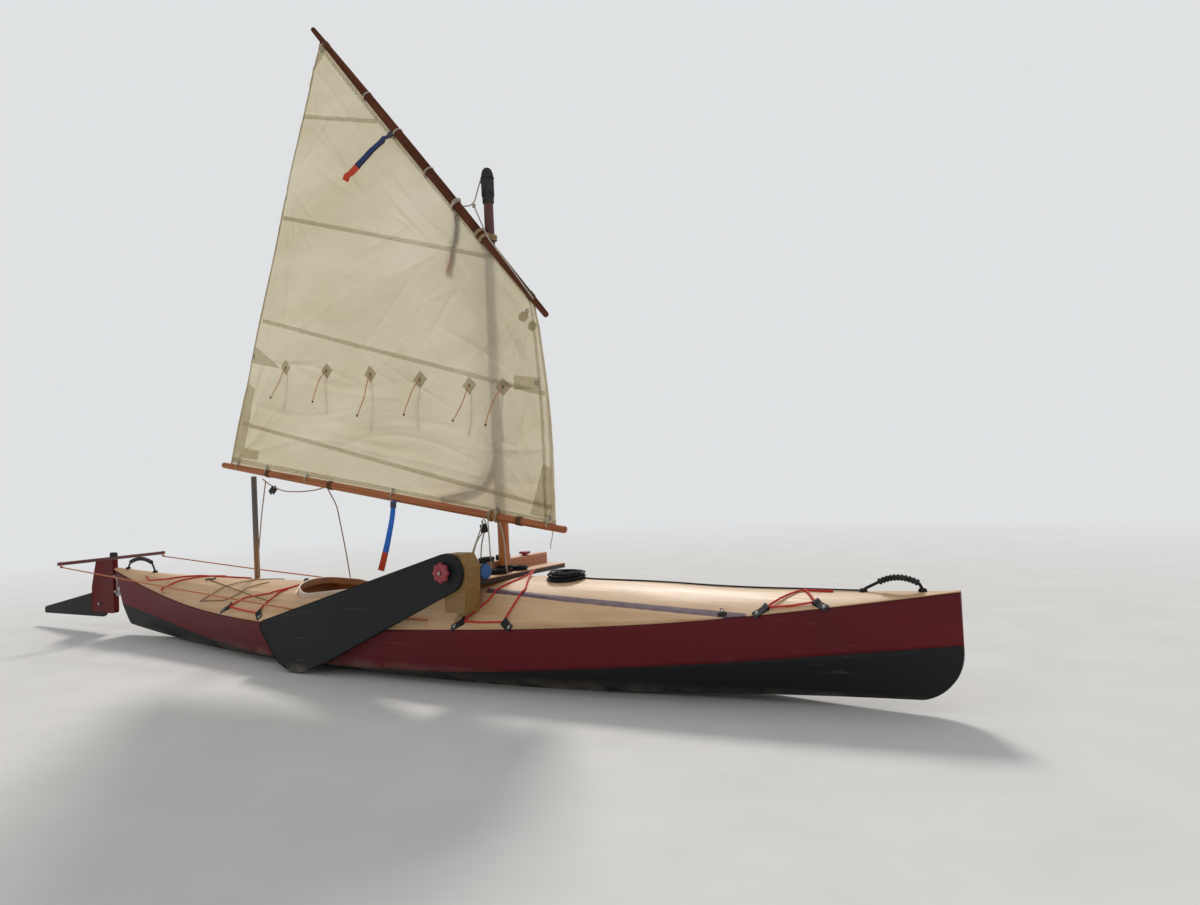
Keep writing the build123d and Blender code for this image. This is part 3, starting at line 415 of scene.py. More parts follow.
# The foredeck: a crowned middle panel between two sloping side panels, 5 mm plywood in clear
# varnish. A dark tape covers each seam; the panel's pale edge shows above the red side.
deck_thickness = 0.005
deck_joint_x = 0.6003
least_side_panel = 0.001
fore_seam_half = 0.195
seam_start_x, seam_end_x = 0.66, 1.79
seam_tape_half = 0.013
tape_fray = 0.0008
deck_edge_columns, deck_crown_columns = 6, 21
foredeck_rows = 110


def deck_lines(x):
    """Half width and height of the deck's edge and seam and the height of its crest, at each x."""
    lines = hull_at(x)
    sheer = lines["sheer_half"]
    seam = np.minimum(lines["seam_half"], sheer - least_side_panel)
    edge_z = lines["sheer_z"] + glue_line + deck_thickness
    seam_z = edge_z + (sheer - seam) * lines["side_slope"]
    crest = np.clip(lines["crest_z"], seam_z + 0.1 * seam, seam_z + 0.6 * seam)
    return sheer, edge_z, seam, seam_z, crest


def deck_z(x, y):
    """Height of the deck's top: straight from the edge to the seam, a parabola between the seams."""
    x, y = np.broadcast_arrays(np.asarray(x, float), np.abs(np.asarray(y, float)))
    sheer, edge_z, seam, seam_z, crest = (v.reshape(x.shape) for v in deck_lines(x.ravel()))
    side = edge_z + (sheer - y) * (seam_z - edge_z) / (sheer - seam)
    return np.where(y > seam, side, seam_z + (crest - seam_z) * (1 - (y / seam) ** 2))


def on_deck(x, y, lift=0.0):
    """Points on the deck, or a lift above it."""
    x, y = np.broadcast_arrays(np.asarray(x, float), np.asarray(y, float))
    return np.stack([x, y, deck_z(x, y) + lift], -1)


def deck_skin(x):
    """The deck's top across the whole boat at each x, with a column on each seam."""
    sheer, _, seam, _, _ = (v[:, None] for v in deck_lines(x))
    side = np.linspace(1, 0, deck_edge_columns)[None, :-1]
    port = seam + (sheer - seam) * side
    crown = seam * np.linspace(1, -1, deck_crown_columns)[None, :]
    across = -np.hstack([port, crown, -port[:, ::-1]])
    return on_deck(np.broadcast_to(x[:, None], across.shape), across)


def deck_finish(name, pale, dark):
    """Clear varnish over plywood with the dark seam tape of the foredeck."""
    material, tree, surface = finish(name, Coat_Weight=0.08, Coat_Roughness=0.3, Specular_IOR_Level=0.35)
    place = here(tree)
    wood = grain(tree, place, pale, dark, 0.55, 0.32, 0.5)
    at = parts(tree, place)
    wander = noise(tree, place, 30.0, 2.0)
    from_middle = sums(tree, "ABSOLUTE", at[1])
    from_seam = sums(tree, "ABSOLUTE", sums(tree, "SUBTRACT", from_middle, fore_seam_half))
    from_seam = sums(tree, "ADD", from_seam, spread(tree, wander, 0.3, 0.7, -tape_fray, tape_fray))
    tape = spread(tree, from_seam, seam_tape_half - tape_fray, seam_tape_half, 1.0, 0.0)
    tape = times(tree, tape, spread(tree, at[0], seam_start_x, seam_start_x + 0.001))
    tape = times(tree, tape, spread(tree, at[0], seam_end_x, seam_end_x + 0.004, 1.0, 0.0))
    grime = spread(tree, noise(tree, place, 7.0, 6.0, rough=0.7), 0.56, 0.8, 0.0, 0.35)
    colour = blended(tree, grime, wood["Color"], rgb("8f7256"))
    tape_colour = blended(tree, spread(tree, wander, 0.3, 0.7), rgb("5e4850"), rgb("745c64"))
    colour = blended(tree, tape, colour, tape_colour)
    height = sums(tree, "ADD", times(tree, wood["Height"], 0.5), times(tree, tape, 0.6))
    join_up(tree, surface, colour, wood["Roughness"], height, 0.0005, 0.4)
    return material


deck_ply = deck_finish("varnished deck plywood", "dbb88e", "c39667")
fore_run = deck_skin(stations(deck_joint_x, skin_fore_x, foredeck_rows))
foredeck = piece(
    "foredeck", [lattice(fore_run)], [deck_ply], "hull",
    ["foredeck_middle", "foredeck_side_port", "foredeck_side_starboard"], "deck_ply", sharp=14, skin=True,
)
thicken(foredeck, deck_thickness)

# The aft deck: one crowned panel from the stern to the mast, cut out for the cockpit. It is laid
# out as rings round the cockpit's opening, with a plain run of panel abaft them.
COCKPIT_CORNERS = ((-0.600, 0.222, 0.175), (0.440, 0.178, 0.110))
cockpit_centre_x = -0.080
cockpit_edge_points = 800
ring_aft_x = -0.800
aft_deck_fore_x = deck_joint_x - 0.0006
aft_deck_end_x = -2.4195
aft_run_rows, ring_rows = 90, 14
side_points, fore_points = 64, 33


def rounded(corners, radii, steps=10):
    """A closed outline through corners (x, y), each turned by an arc of its radius: the arc's centre
    lies on the corner's bisector, and its ends a radius times the tangent of half the turn away."""
    corners = np.asarray(corners, float)
    before = np.roll(corners, 1, 0) - corners
    after = np.roll(corners, -1, 0) - corners
    before /= np.linalg.norm(before, axis=1)[:, None]
    after /= np.linalg.norm(after, axis=1)[:, None]
    half = np.arccos(np.clip((before * after).sum(1), -1, 1)) / 2
    radii = np.asarray(radii, float)
    bisector = before + after
    bisector /= np.linalg.norm(bisector, axis=1)[:, None]
    centre = corners + bisector * (radii / np.sin(half))[:, None]
    start = corners + before * (radii / np.tan(half))[:, None] - centre
    stop = corners + after * (radii / np.tan(half))[:, None] - centre
    sweep = (np.pi - 2 * half)[:, None]
    t = np.linspace(0, 1, steps)[None, :]
    from_start = np.sin((1 - t) * sweep) / np.sin(sweep)
    from_stop = np.sin(t * sweep) / np.sin(sweep)
    arcs = centre[:, None] + start[:, None] * from_start[..., None] + stop[:, None] * from_stop[..., None]
    return arcs.reshape(-1, 2)


def even(line, count, closed=False):
    """A line's points again, evenly spaced along it."""
    line = np.asarray(line, float)
    if closed:
        line = np.vstack([line, line[:1]])
    run = np.concatenate([[0], np.cumsum(np.linalg.norm(np.diff(line, axis=0), axis=1))])
    at = np.linspace(0, run[-1], count, endpoint=not closed)
    return np.stack([np.interp(at, run, column) for column in line.T], -1)


(aft_x, aft_half, aft_round), (fore_x, fore_half, fore_round) = COCKPIT_CORNERS
cockpit_edge = even(rounded(
    [(aft_x, -aft_half), (fore_x, -fore_half), (fore_x, fore_half), (aft_x, aft_half)],
    [aft_round, fore_round, fore_round, aft_round], 24,
), cockpit_edge_points, closed=True)


def opening_at(angle, inset=0.0):
    """The cockpit's edge in each direction from its centre, made smaller by an inset."""
    out = cockpit_edge - (cockpit_centre_x, 0)
    step = np.roll(cockpit_edge, -1, 0) - np.roll(cockpit_edge, 1, 0)
    inward = np.stack([-step[:, 1], step[:, 0]], 1) / np.linalg.norm(step, axis=1)[:, None]
    out = out + inward * inset
    bearing = np.arctan2(out[:, 1], out[:, 0])
    order = np.argsort(bearing)
    reach = np.interp(angle, bearing[order], np.linalg.norm(out, axis=1)[order], period=2 * np.pi)
    return np.stack([cockpit_centre_x + reach * np.cos(angle), reach * np.sin(angle)], -1)


side_x = np.linspace(ring_aft_x, aft_deck_fore_x, side_points)
side_half = hull_at(side_x)["sheer_half"]
share = np.linspace(-1, 1, fore_points)
aft_edge = deck_skin(np.array([ring_aft_x]))[0, :, :2]
fore_edge = np.stack([np.full(share.shape, side_x[-1]), share * side_half[-1]], 1)
rim = np.vstack([
    np.stack([side_x, -side_half], 1)[:-1], fore_edge[:-1],
    np.stack([side_x, side_half], 1)[:0:-1], aft_edge[::-1][:-1],
])
bearing = np.arctan2(rim[:, 1], rim[:, 0] - cockpit_centre_x)
inner = opening_at(bearing)
outward = np.linspace(0, 1, ring_rows)[:, None, None]
plan = inner[None] + (rim - inner)[None] * outward
rings = on_deck(plan[..., 0], plan[..., 1])
aft_run = deck_skin(stations(aft_deck_end_x, ring_aft_x, aft_run_rows))
aft_deck = piece("aft_deck_panel", [lattice(aft_run), lattice(rings, around=True)],
                 [deck_ply], "hull", ["aft_deck"], "deck_ply", sharp=14, skin=True)
thicken(aft_deck, deck_thickness)

# The coaming: a rim of laminated wood bent round the inside of the opening, whitish outside and on
# top and brown inside. It stands 22 mm above the deck.
coaming_wall = 0.011
coaming_height = 0.022
coaming_depth = 0.011
coaming_round = 0.004
coaming_steps = 200
angle = np.linspace(-np.pi, np.pi, coaming_steps, endpoint=False)
arc = np.linspace(0, np.pi, 9)
lip = np.stack([coaming_wall / 2 - (coaming_wall / 2 - glue_line) * np.cos(arc),
                coaming_height - coaming_round + coaming_round * np.sin(arc)], 1)
outside = np.vstack([[(coaming_wall, -coaming_depth), (glue_line, -coaming_depth)], lip])
inside = np.array([lip[-1], (coaming_wall, -coaming_depth)])


def coaming_band(section, slot):
    """Part of the rim: loops round the opening at a section's insets and heights over the deck."""
    loops = np.stack([opening_at(angle, inset) for inset in section[:, 0]])
    rim_z = deck_z(*np.moveaxis(opening_at(angle), -1, 0)) + section[:, 1][:, None]
    return lattice(np.dstack([loops, rim_z]), around=True, slot=slot)


off_white = wooden("whitish coaming wood", "e6d6c6", "c9a988", 0.7, 0.5, 0.5)
coaming_brown = wooden("brown coaming wood", "a8703f", "7c4c2a", 0.8, 0.5, 0.4)
piece("coaming_rim", [coaming_band(outside, 0), coaming_band(inside, 1)], [off_white, coaming_brown],
      "hull", ["coaming"], "coaming_wood")

# The mast: a round pole of varnished wood stepped on the bottom, orange below and darker above, where the
# darker colour is painted shade. A black boot covers its head, with a lashed ring on its after side for the
# halyard.
pole_sides = 40


def tube(line, radius, sides=12, capped=True, slot=0):
    """A tube of a radius, or a radius at each point, round a line. Its circles lie across the line and
    start from one fixed direction, out of many spread by the golden angle, that the line never takes."""
    line = np.asarray(line, float)
    along = np.gradient(line, axis=0)
    along /= np.linalg.norm(along, axis=1)[:, None]
    k = np.arange(60)
    level, bearing = 1 - (k + 0.5) / 60, k * math.pi * (3 - math.sqrt(5))
    flat = np.sqrt(1 - level**2)
    ways = np.stack([flat * np.cos(bearing), flat * np.sin(bearing), level], 1)
    way = ways[np.abs(along @ ways.T).max(0).argmin()]
    side = way - along * (along @ way)[:, None]
    side /= np.linalg.norm(side, axis=1)[:, None]
    across = np.cross(side, along)
    turn = np.linspace(0, 2 * np.pi, sides, endpoint=False)[None, :, None]
    circle = side[:, None] * np.cos(turn) + across[:, None] * np.sin(turn)
    radius = np.broadcast_to(np.asarray(radius, float), len(line))[:, None, None]
    return lattice(line[:, None] + radius * circle, around=True, capped=capped, slot=slot)


def pole(start, end, places, radii, rows=60, round_end=0.012, **shape):
    """A straight turned pole: radii given at shares of its length, and both its ends rounded over."""
    start, end = np.array(start), np.array(end)
    length = np.linalg.norm(end - start)
    tip = np.linspace(0, 1, 7)[:-1] * round_end / length
    at = np.concatenate([tip, np.linspace(round_end / length, 1 - round_end / length, rows), 1 - tip[::-1]])
    radius = np.interp(at, places, radii)
    from_end = np.clip(np.minimum(at, 1 - at) * length / round_end, 0, 1)
    drawn_in = 1 - np.sqrt(np.maximum(1 - (1 - from_end) ** 2, 0))
    radius = radius * (1 - drawn_in * min(1, round_end / radii[0] * 0.9))
    return tube(start + (end - start) * at[:, None], radius, pole_sides, **shape)


mast_low, mast_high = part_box("mast")
mast_x = (mast_low.x + mast_high.x) / 2
mast_radius = (mast_high.x - mast_low.x) / 2
mast_upper_radius, mast_top_radius = 0.0226, 0.020
taper_from_z = 0.9
taper_share = (taper_from_z - mast_low.z) / (mast_high.z - mast_low.z)
taper_middle = (1 + taper_share) / 2
UPRIGHT = (0, math.radians(90), 0)


def mast_finish():
    """Varnished wood with its grain upright, orange at the deck and going to dark red brown aloft, which is
    painted shade.
    """
    material, tree, surface = finish("varnished mast with painted shade aloft", Coat_Weight=0.15, Coat_Roughness=0.3)
    space = put(tree, "Mapping", Vector=here(tree), Rotation=UPRIGHT).outputs[0]
    low = grain(tree, space, "cc7a30", "9c501c", 1.4, 0.5, 0.32)
    # The dark red brown grain aloft is painted shade.
    high = grain(tree, space, "5e3328", "3f2420", 1.4, 0.5, 0.32)
    level = parts(tree, here(tree))[2]
    colour = blended(tree, spread(tree, level, 0.75, 1.7), low["Color"], high["Color"])
    join_up(tree, surface, colour, low["Roughness"], low["Height"], 0.0004, 0.35)
    return material


mast_shape = pole((mast_x, 0, mast_low.z), (mast_x, 0, mast_high.z), (0, taper_share, taper_middle, 1),
                  (mast_radius, mast_radius, mast_upper_radius, mast_top_radius))
piece("mast_pole", [mast_shape], [mast_finish()], "hull", ["mast"], "mast_wood")


def plastic(name, colour, rough=0.45, depth=0.0004, **fixed):
    """Moulded plastic or rubber with a fine grain, and dull where hands and ropes rub it."""
    material, tree, surface = finish(name, **fixed)
    place = here(tree)
    rub = noise(tree, place, 24.0, 4.0)
    grain = noise(tree, place, 900.0, 2.0)
    shaded = blended(tree, spread(tree, rub, 0.35, 0.7), rgb(colour),
                     blended(tree, 0.08, rgb(colour), (0.6, 0.6, 0.6, 1)))
    join_up(tree, surface, shaded, spread(tree, rub, 0.3, 0.7, rough - 0.06, rough + 0.12), grain, depth, 0.3)
    return material


black_rubber = plastic("black rubber", "141314", 0.6, Specular_IOR_Level=0.3)
head_low, head_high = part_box("masthead")
head_radius = (head_high.x - head_low.x) / 2
boot_rows = 70
least_radius = 0.0005
level = np.array([0, 0.004, 0.03, 0.032, 0.05, 0.1, 0.112, 0.128, 0.142, 0.152, 0.158, 0.16])
width = np.array([0.82, 0.9, 0.9, 1.0, 0.99, 1.0, 0.99, 0.93, 0.8, 0.6, 0.34, 0.0])
share = np.linspace(0, 1, boot_rows)
profile = np.interp(share, level / level[-1], width) * head_radius
boot_z = head_low.z + share * (head_high.z - head_low.z)
line = np.stack([np.full(boot_rows, mast_x), np.zeros(boot_rows), boot_z], 1)
piece("masthead_boot", [tube(line, np.maximum(profile, least_radius), pole_sides)], [black_rubber], "hull",
      ["masthead"], "masthead_black", sharp=50)

# The crossbeam: a plank over the deck with the mast's partner hole, its fore face painted dark as painted
# shade, and a square bar on it abaft the mast. A small red knob near its port end clamps it to the deck.
beam_wood = wooden("crossbeam wood", "d0936c", "a5694a", 1.2, 0.45, 0.5, (0, 0, 90))
dress(beam_wood, "beam_bar")
plank_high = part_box("beam_plank")[1]


def beam_plank_finish():
    """Plank wood with a dark band of painted shade along its fore face, short of the pale upper corner."""
    material, tree, surface = finish("crossbeam plank", Specular_IOR_Level=0.35)
    place = here(tree)
    space = put(tree, "Mapping", Vector=place, Rotation=(0, 0, math.radians(90))).outputs[0]
    wood = grain(tree, space, "dcb389", "bd875a", 1.2, 0.45, 0.42)
    at = parts(tree, place)
    band = times(tree, spread(tree, at[0], plank_high.x - 0.0008, plank_high.x - 0.0004),
                spread(tree, at[2], plank_high.z - 0.0042, plank_high.z - 0.0034, 1.0, 0.0))
    # The fore face's dark band is painted shade.
    stain = blended(tree, spread(tree, noise(tree, place, 40.0, 4.0), 0.3, 0.7), rgb("2f2422"), rgb("463834"))
    join_up(tree, surface, blended(tree, band, wood["Color"], stain), wood["Roughness"], wood["Height"],
            0.0004, 0.4)
    return material


dress(beam_plank_finish(), "beam_plank")

# The cheek block: a thick block of plywood on the side deck that carries the leeboard's bolt, sawn
# to a sloping fore end, with the plies showing along its cut edges.


def cheek_finish():
    """Sawn plywood: layers of 4 mm seen on the block's ends, each in its own shade."""
    material, tree, surface = finish("cheek block plywood", Coat_Weight=0.1, Coat_Roughness=0.4)
    place = here(tree)
    wood = grain(tree, place, "97753a", "6a4e24", 1.5, 0.5, 0.5)
    at = parts(tree, place)
    ply = sums(tree, "PINGPONG", times(tree, at[1], 250.0), 1.0)
    colour = blended(tree, spread(tree, ply, 0.42, 0.58, 0.0, 0.4), wood["Color"], rgb("a07a48"))
    join_up(tree, surface, colour, wood["Roughness"], wood["Height"], 0.0005, 0.5)
    return material


dress(cheek_finish(), "cheek_block")

# The leeboard: 18 mm plywood in matt black, round at the pivot and wider below, swung up and aft.
# Its edges are rounded over and rubbed pale in places.
board_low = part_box("leeboard")[0]
board_pivot = np.array([0.600, board_low.y, 0.470])
board_slope = math.radians(19.0)
board_along = np.array([-math.cos(board_slope), 0, -math.sin(board_slope)])
board_up = np.array([-math.sin(board_slope), 0, math.cos(board_slope)])
board_thickness = 0.018
board_edge = 0.0045


def signed_area(outline):
    """The area inside a closed outline, above nought where it runs anticlockwise."""
    after = np.roll(outline, -1, 0)
    return 0.5 * np.sum(outline[:, 0] * after[:, 1] - after[:, 0] * outline[:, 1])


def plate(outline, origin, along, up, thickness, edge, slot=0):
    """A flat plate from origin to a thickness along cross(up, along), its edges rounded over: each ring
    is the outline in its own plane, moved in by as much as a quarter circle asks."""
    normal = np.cross(up, along)
    step = np.roll(outline, -1, 0) - np.roll(outline, 1, 0)
    step /= np.linalg.norm(step, axis=1)[:, None]
    inward = np.stack([-step[:, 1], step[:, 0]], 1) * np.sign(signed_area(outline))
    turn = np.linspace(0, np.pi / 2, 5)
    depth = edge * np.concatenate([1 - np.sin(turn), 1 - np.cos(turn)])
    height = np.concatenate([edge * (1 - np.cos(turn)), thickness - edge * (1 - np.sin(turn))])
    rings = outline[None] + inward[None] * depth[:, None, None]
    points = origin + rings[..., :1] * along + rings[..., 1:] * up + height[:, None, None] * normal
    return lattice(points, around=True, capped=True, slot=slot)


def arc_points(centre, radius, first, last, steps=40):
    """Points on an arc, by angles in degrees."""
    angle = np.radians(np.linspace(first, last, steps))
    return np.array(centre) + radius * np.stack([np.cos(angle), np.sin(angle)], 1)


board_body = rounded([(-0.008, 0.071), (1.195, 0.140), (1.085, -0.150), (0.800, -0.150), (-0.008, -0.085)],
                     [0.0005, 0.035, 0.190, 0.300, 0.0005], 24)
board_outline = np.vstack([board_body[24:-24], arc_points((-0.008, -0.007), 0.078, 270, 90, 48)])
black_paint = painted("matt black board paint", "1b1e20", "4c504f", 0.4, 0.05, 0.6, Specular_IOR_Level=0.3)
board_shape = plate(even(board_outline, 260, True), board_pivot, board_along, board_up, -board_thickness,
                    board_edge)
piece("leeboard_plate", [board_shape], [black_paint], "leeboard", ["leeboard"], "board_paint")

# The hand knobs: moulded red nylon with eight soft lobes and a hollow for the bolt's end. The large
# one clamps the leeboard's bolt, the small one holds the crossbeam to the deck.
red_plastic = plastic("red knob plastic", "9e1d30", 0.4, Coat_Weight=0.15)
beam_knob_y = 0.215
beam_knob_scale = 0.62


def knob(foot, axis, scale):
    """A lobed knob: rings along its axis, each a circle with eight waves as deep as that ring asks. The
    profile is written in millimetres."""
    height, radius, wave = np.array([
        (0, 16, 0), (0.5, 19, 0), (7, 20, 0), (8, 22, 0), (8.6, 27, 0.3), (9.6, 32, 0.8),
        (12, 36.5, 1.7), (15, 38, 2), (22, 38, 2), (25, 36.5, 1.8), (27, 33, 1.3), (28, 28, 0.8),
        (28, 22, 0.3), (27.4, 16, 0.1), (25, 14, 0), (24.6, 12, 0), (24.6, 0.01, 0),
    ]).T[:, :, None] * 0.001 * scale
    turn = np.linspace(0, 2 * np.pi, 128, endpoint=False)
    reach = radius + 2 * wave * np.cos(8 * turn)
    side = np.array([1.0, 0, 0])
    across = np.cross(axis, side)
    points = (np.asarray(foot) + height[..., None] * axis + (reach * np.cos(turn))[..., None] * side
              + (reach * np.sin(turn))[..., None] * across)
    return lattice(points, around=True, capped=True)


board_knob_foot = (board_pivot[0], board_low.y - glue_line, board_pivot[2])
piece("board_hand_knob", [knob(board_knob_foot, np.array([0, -1.0, 0]), 1.0)], [red_plastic], "leeboard",
      ["leeboard_knob"], "red_plastic", sharp=50)
knob_low, knob_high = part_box("beam_knob")
beam_knob_foot = ((knob_low.x + knob_high.x) / 2, beam_knob_y, knob_low.z)
piece("beam_hand_knob", [knob(beam_knob_foot, np.array([0, 0, 1.0]), beam_knob_scale)], [red_plastic],
      "hull", ["beam_knob"], "red_plastic", sharp=50)

# Fittings in stainless steel, dull with salt: bolts, gudgeons on the stern and the rudder's pintle.


def steel_finish():
    """Brushed stainless steel with stains."""
    material, tree, surface = finish("dull stainless steel", Metallic=0.9)
    place = here(tree)
    stain = noise(tree, place, 60.0, 4.0)
    brush = noise(tree, place, 500.0, 2.0, (0.1, 1, 1))
    colour = blended(tree, spread(tree, stain, 0.4, 0.7), rgb("b5b6b5"), rgb("7f7b76"))
    join_up(tree, surface, colour, spread(tree, stain, 0.3, 0.7, 0.28, 0.5), brush, 0.0002, 0.3)
    return material


steel = steel_finish()
dress(steel, "leeboard_bolt", "blade_bolt", "gudgeons", "pintle")

# The rudder: two red plywood cheeks on a core, and between them a black blade lifted aft. The yoke
# across its head is a dark red-brown bar, clamped by a black fitting.
rudder_axis = np.array([-2.416, 0, 0])
rudder_turn = math.radians(-1.0)
case_fore_x = -2.430
case_low_z, case_top_z = 0.112, 0.437
cheek_thickness = 0.008
cheek_edge = 0.0015


def on_rudder(shape):
    """A shape drawn with the rudder amidships, turned about the pintle to where it rests."""
    points = shape[0] - rudder_axis
    c, s = math.cos(rudder_turn), math.sin(rudder_turn)
    x, y, z = points.T
    return (np.stack([x * c - y * s, x * s + y * c, z], 1) + rudder_axis, *shape[1:])


rudder_paint = painted("red rudder paint", "650c0f", "7c2a28", 0.4, 0.05, 0.55, Specular_IOR_Level=0.2)
case_outline = rounded(
    [(case_fore_x, case_low_z), (case_fore_x, case_top_z), (case_fore_x - 0.190, case_top_z),
     (case_fore_x - 0.250, 0.270), (case_fore_x - 0.262, case_low_z)],
    [0.022, 0.006, 0.010, 0.060, 0.001], 10,
)
for side, y in (("starboard", -0.007), ("port", 0.015)):
    cheek = plate(case_outline, np.array([0, y, 0]), np.array([1.0, 0, 0]), np.array([0, 0, 1.0]),
                  -cheek_thickness, cheek_edge)
    piece("rudder_case_" + side, [on_rudder(cheek)], [rudder_paint], "rudder", ["rudder_cheek_" + side],
          "rudder_paint", sharp=50)
dress(rudder_paint, "rudder_core")
dress(black_paint, "rudder_blade")
yoke_wood = wooden("dark yoke wood", "6f3a36", "4a2626", 1.2, 0.5, 0.4, (0, 0, 90), Coat_Weight=0.25)
dress(yoke_wood, "yoke")
dress(black_rubber, "rudder_head")

# The spars: two round poles of varnished softwood, thickest in the middle and tapered to the ends,
# which are rounded over. The yard is painted darker than the boom, and that darkness is painted shade.
YARD = ((0.924, 1.485), (-0.417, 3.095))
BOOM = ((0.968, 0.609), (-1.253, 0.967))
yard_low, yard_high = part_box("yard")
spar_y = (yard_low.y + yard_high.y) / 2
yard_radii, boom_radii = (0.021, 0.012), (0.019, 0.015)
spar_places = np.linspace(0, 1, 41)
spar_rows = 80
spar_round_end = 0.01


def spar_radius(share, radii):
    """A spar's radius at a share of its length: a parabola from the middle to its ends."""
    return radii[0] - (radii[0] - radii[1]) * (2 * share - 1) ** 2


for name, (start, end), radii, pale, dark, shine in (
        # The yard's darker colours are painted shade.
        ("yard", YARD, yard_radii, "6e4432", "4a2c21", 0.0),
        ("boom", BOOM, boom_radii, "b9703f", "8f5030", 0.3)):
    slope = math.degrees(math.atan2(end[1] - start[1], end[0] - start[0]))
    spar_wood = wooden("varnished " + name, pale, dark, 1.3, 0.5, 0.46, (0, slope, 0),
                       Specular_IOR_Level=shine)
    shape = pole((start[0], spar_y, start[1]), (end[0], spar_y, end[1]), spar_places,
                 spar_radius(spar_places, radii), spar_rows, spar_round_end)
    piece(name + "_pole", [shape], [spar_wood], "rig", [name], "spar_wood")

# The sail: a four-sided lug of cream polyester cloth, laced along both spars and free at luff and
# leech. Light shines through it, and old folds cross it: along the yard, along the boom, and in
# the middle every way.
HEAD_SPAN = (0.073, 2.002)
FOOT_SPAN = (0.052, 2.188)
luff_round = 0.030
sail_rows, sail_columns = 270, 210
sail_belly = 0.020
cloth_lift = 0.0008


def beside(spar, radii, distance, side):
    """Points (x, z) at distances along a spar, just off its surface: side 1 is below or abaft it."""
    (x0, z0), (x1, z1) = spar
    length = math.dist(*spar)
    ax, az = (x1 - x0) / length, (z1 - z0) / length
    off = side * (spar_radius(distance / length, radii) + glue_line)
    return np.stack([x0 + ax * distance - az * off, z0 + az * distance + ax * off], -1)


def sail_at(u, v):
    """Places (x, z) on the sail, from luff to leech by u and from foot to head by v: a surface blended
    from the four edges, with the luff a shallow parabola."""
    u, v = np.broadcast_arrays(np.asarray(u, float), np.asarray(v, float))
    foot = beside(BOOM, boom_radii, FOOT_SPAN[0] + (FOOT_SPAN[1] - FOOT_SPAN[0]) * u, -1)
    head = beside(YARD, yard_radii, HEAD_SPAN[0] + (HEAD_SPAN[1] - HEAD_SPAN[0]) * u, 1)
    tack, clew = (beside(BOOM, boom_radii, np.array(d), -1) for d in FOOT_SPAN)
    throat, peak = (beside(YARD, yard_radii, np.array(d), 1) for d in HEAD_SPAN)
    u, v = u[..., None], v[..., None]
    luff = tack + (throat - tack) * v + np.array([4 * luff_round, 0]) * v * (1 - v)
    leech = clew + (peak - clew) * v
    corners = (1 - u) * (1 - v) * tack + u * (1 - v) * clew + (1 - u) * v * throat + u * v * peak
    return (1 - v) * foot + v * head + (1 - u) * luff + u * leech - corners


def from_line(x, z, line):
    """How far points are from a straight line in the sail's plane."""
    (x0, z0), (x1, z1) = line
    return np.abs((x - x0) * (z1 - z0) - (z - z0) * (x1 - x0)) / math.dist(*line)


def creases():
    """The sail's folds, one a row: middle (x, z), bearing, half length, width, height and bow. They
    run along the yard, every way in the middle, along the boom, across luff and leech, and out of
    each corner."""
    draw = np.random.default_rng(7)
    yard_way = math.atan2(YARD[1][1] - YARD[0][1], YARD[1][0] - YARD[0][0])
    boom_way = math.atan2(BOOM[1][1] - BOOM[0][1], BOOM[1][0] - BOOM[0][0])
    groups = []
    for number, places, way, turn, half, wide, high in (
            (16, ((0.05, 0.95), (0.80, 0.97)), yard_way, 0.06, (0.15, 0.5), (0.008, 0.018), 0.0075),
            (46, ((0.05, 0.95), (0.25, 0.85)), boom_way, 1.5, (0.06, 0.24), (0.005, 0.012), 0.0060),
            (16, ((0.05, 0.95), (0.05, 0.30)), boom_way, 0.12, (0.15, 0.6), (0.008, 0.020), 0.0080),
            (12, ((0.02, 0.10), (0.15, 0.95)), 1.7, 0.5, (0.04, 0.16), (0.007, 0.016), 0.009),
            (12, ((0.90, 0.98), (0.10, 0.90)), 1.4, 0.5, (0.04, 0.16), (0.007, 0.016), 0.009)):
        u, v = (draw.uniform(*span, number) for span in places)
        groups.append(np.column_stack([
            sail_at(u, v), way + turn * draw.uniform(-1, 1, number), draw.uniform(*half, number),
            draw.uniform(*wide, number), high * draw.uniform(0.4, 1, number) * draw.choice([-1, 1], number),
            draw.uniform(-0.5, 0.5, number),
        ]))
    for u, v, inward in ((0.02, 0.02, 2.4), (0.98, 0.02, 0.75), (0.02, 0.98, -2.0), (0.98, 0.98, -1.25)):
        ways = inward + np.linspace(-0.6, 0.6, 6) + draw.uniform(-0.08, 0.08, 6)
        half = draw.uniform(0.12, 0.32, 6)
        middle = sail_at(u, v) + half[:, None] * np.stack([np.cos(ways), np.sin(ways)], 1)
        groups.append(np.column_stack([
            middle, ways, half, draw.uniform(0.008, 0.016, 6), 0.0070 * draw.uniform(0.5, 1, 6), np.zeros(6),
        ]))
    return np.vstack(groups)


FOLDS = creases()


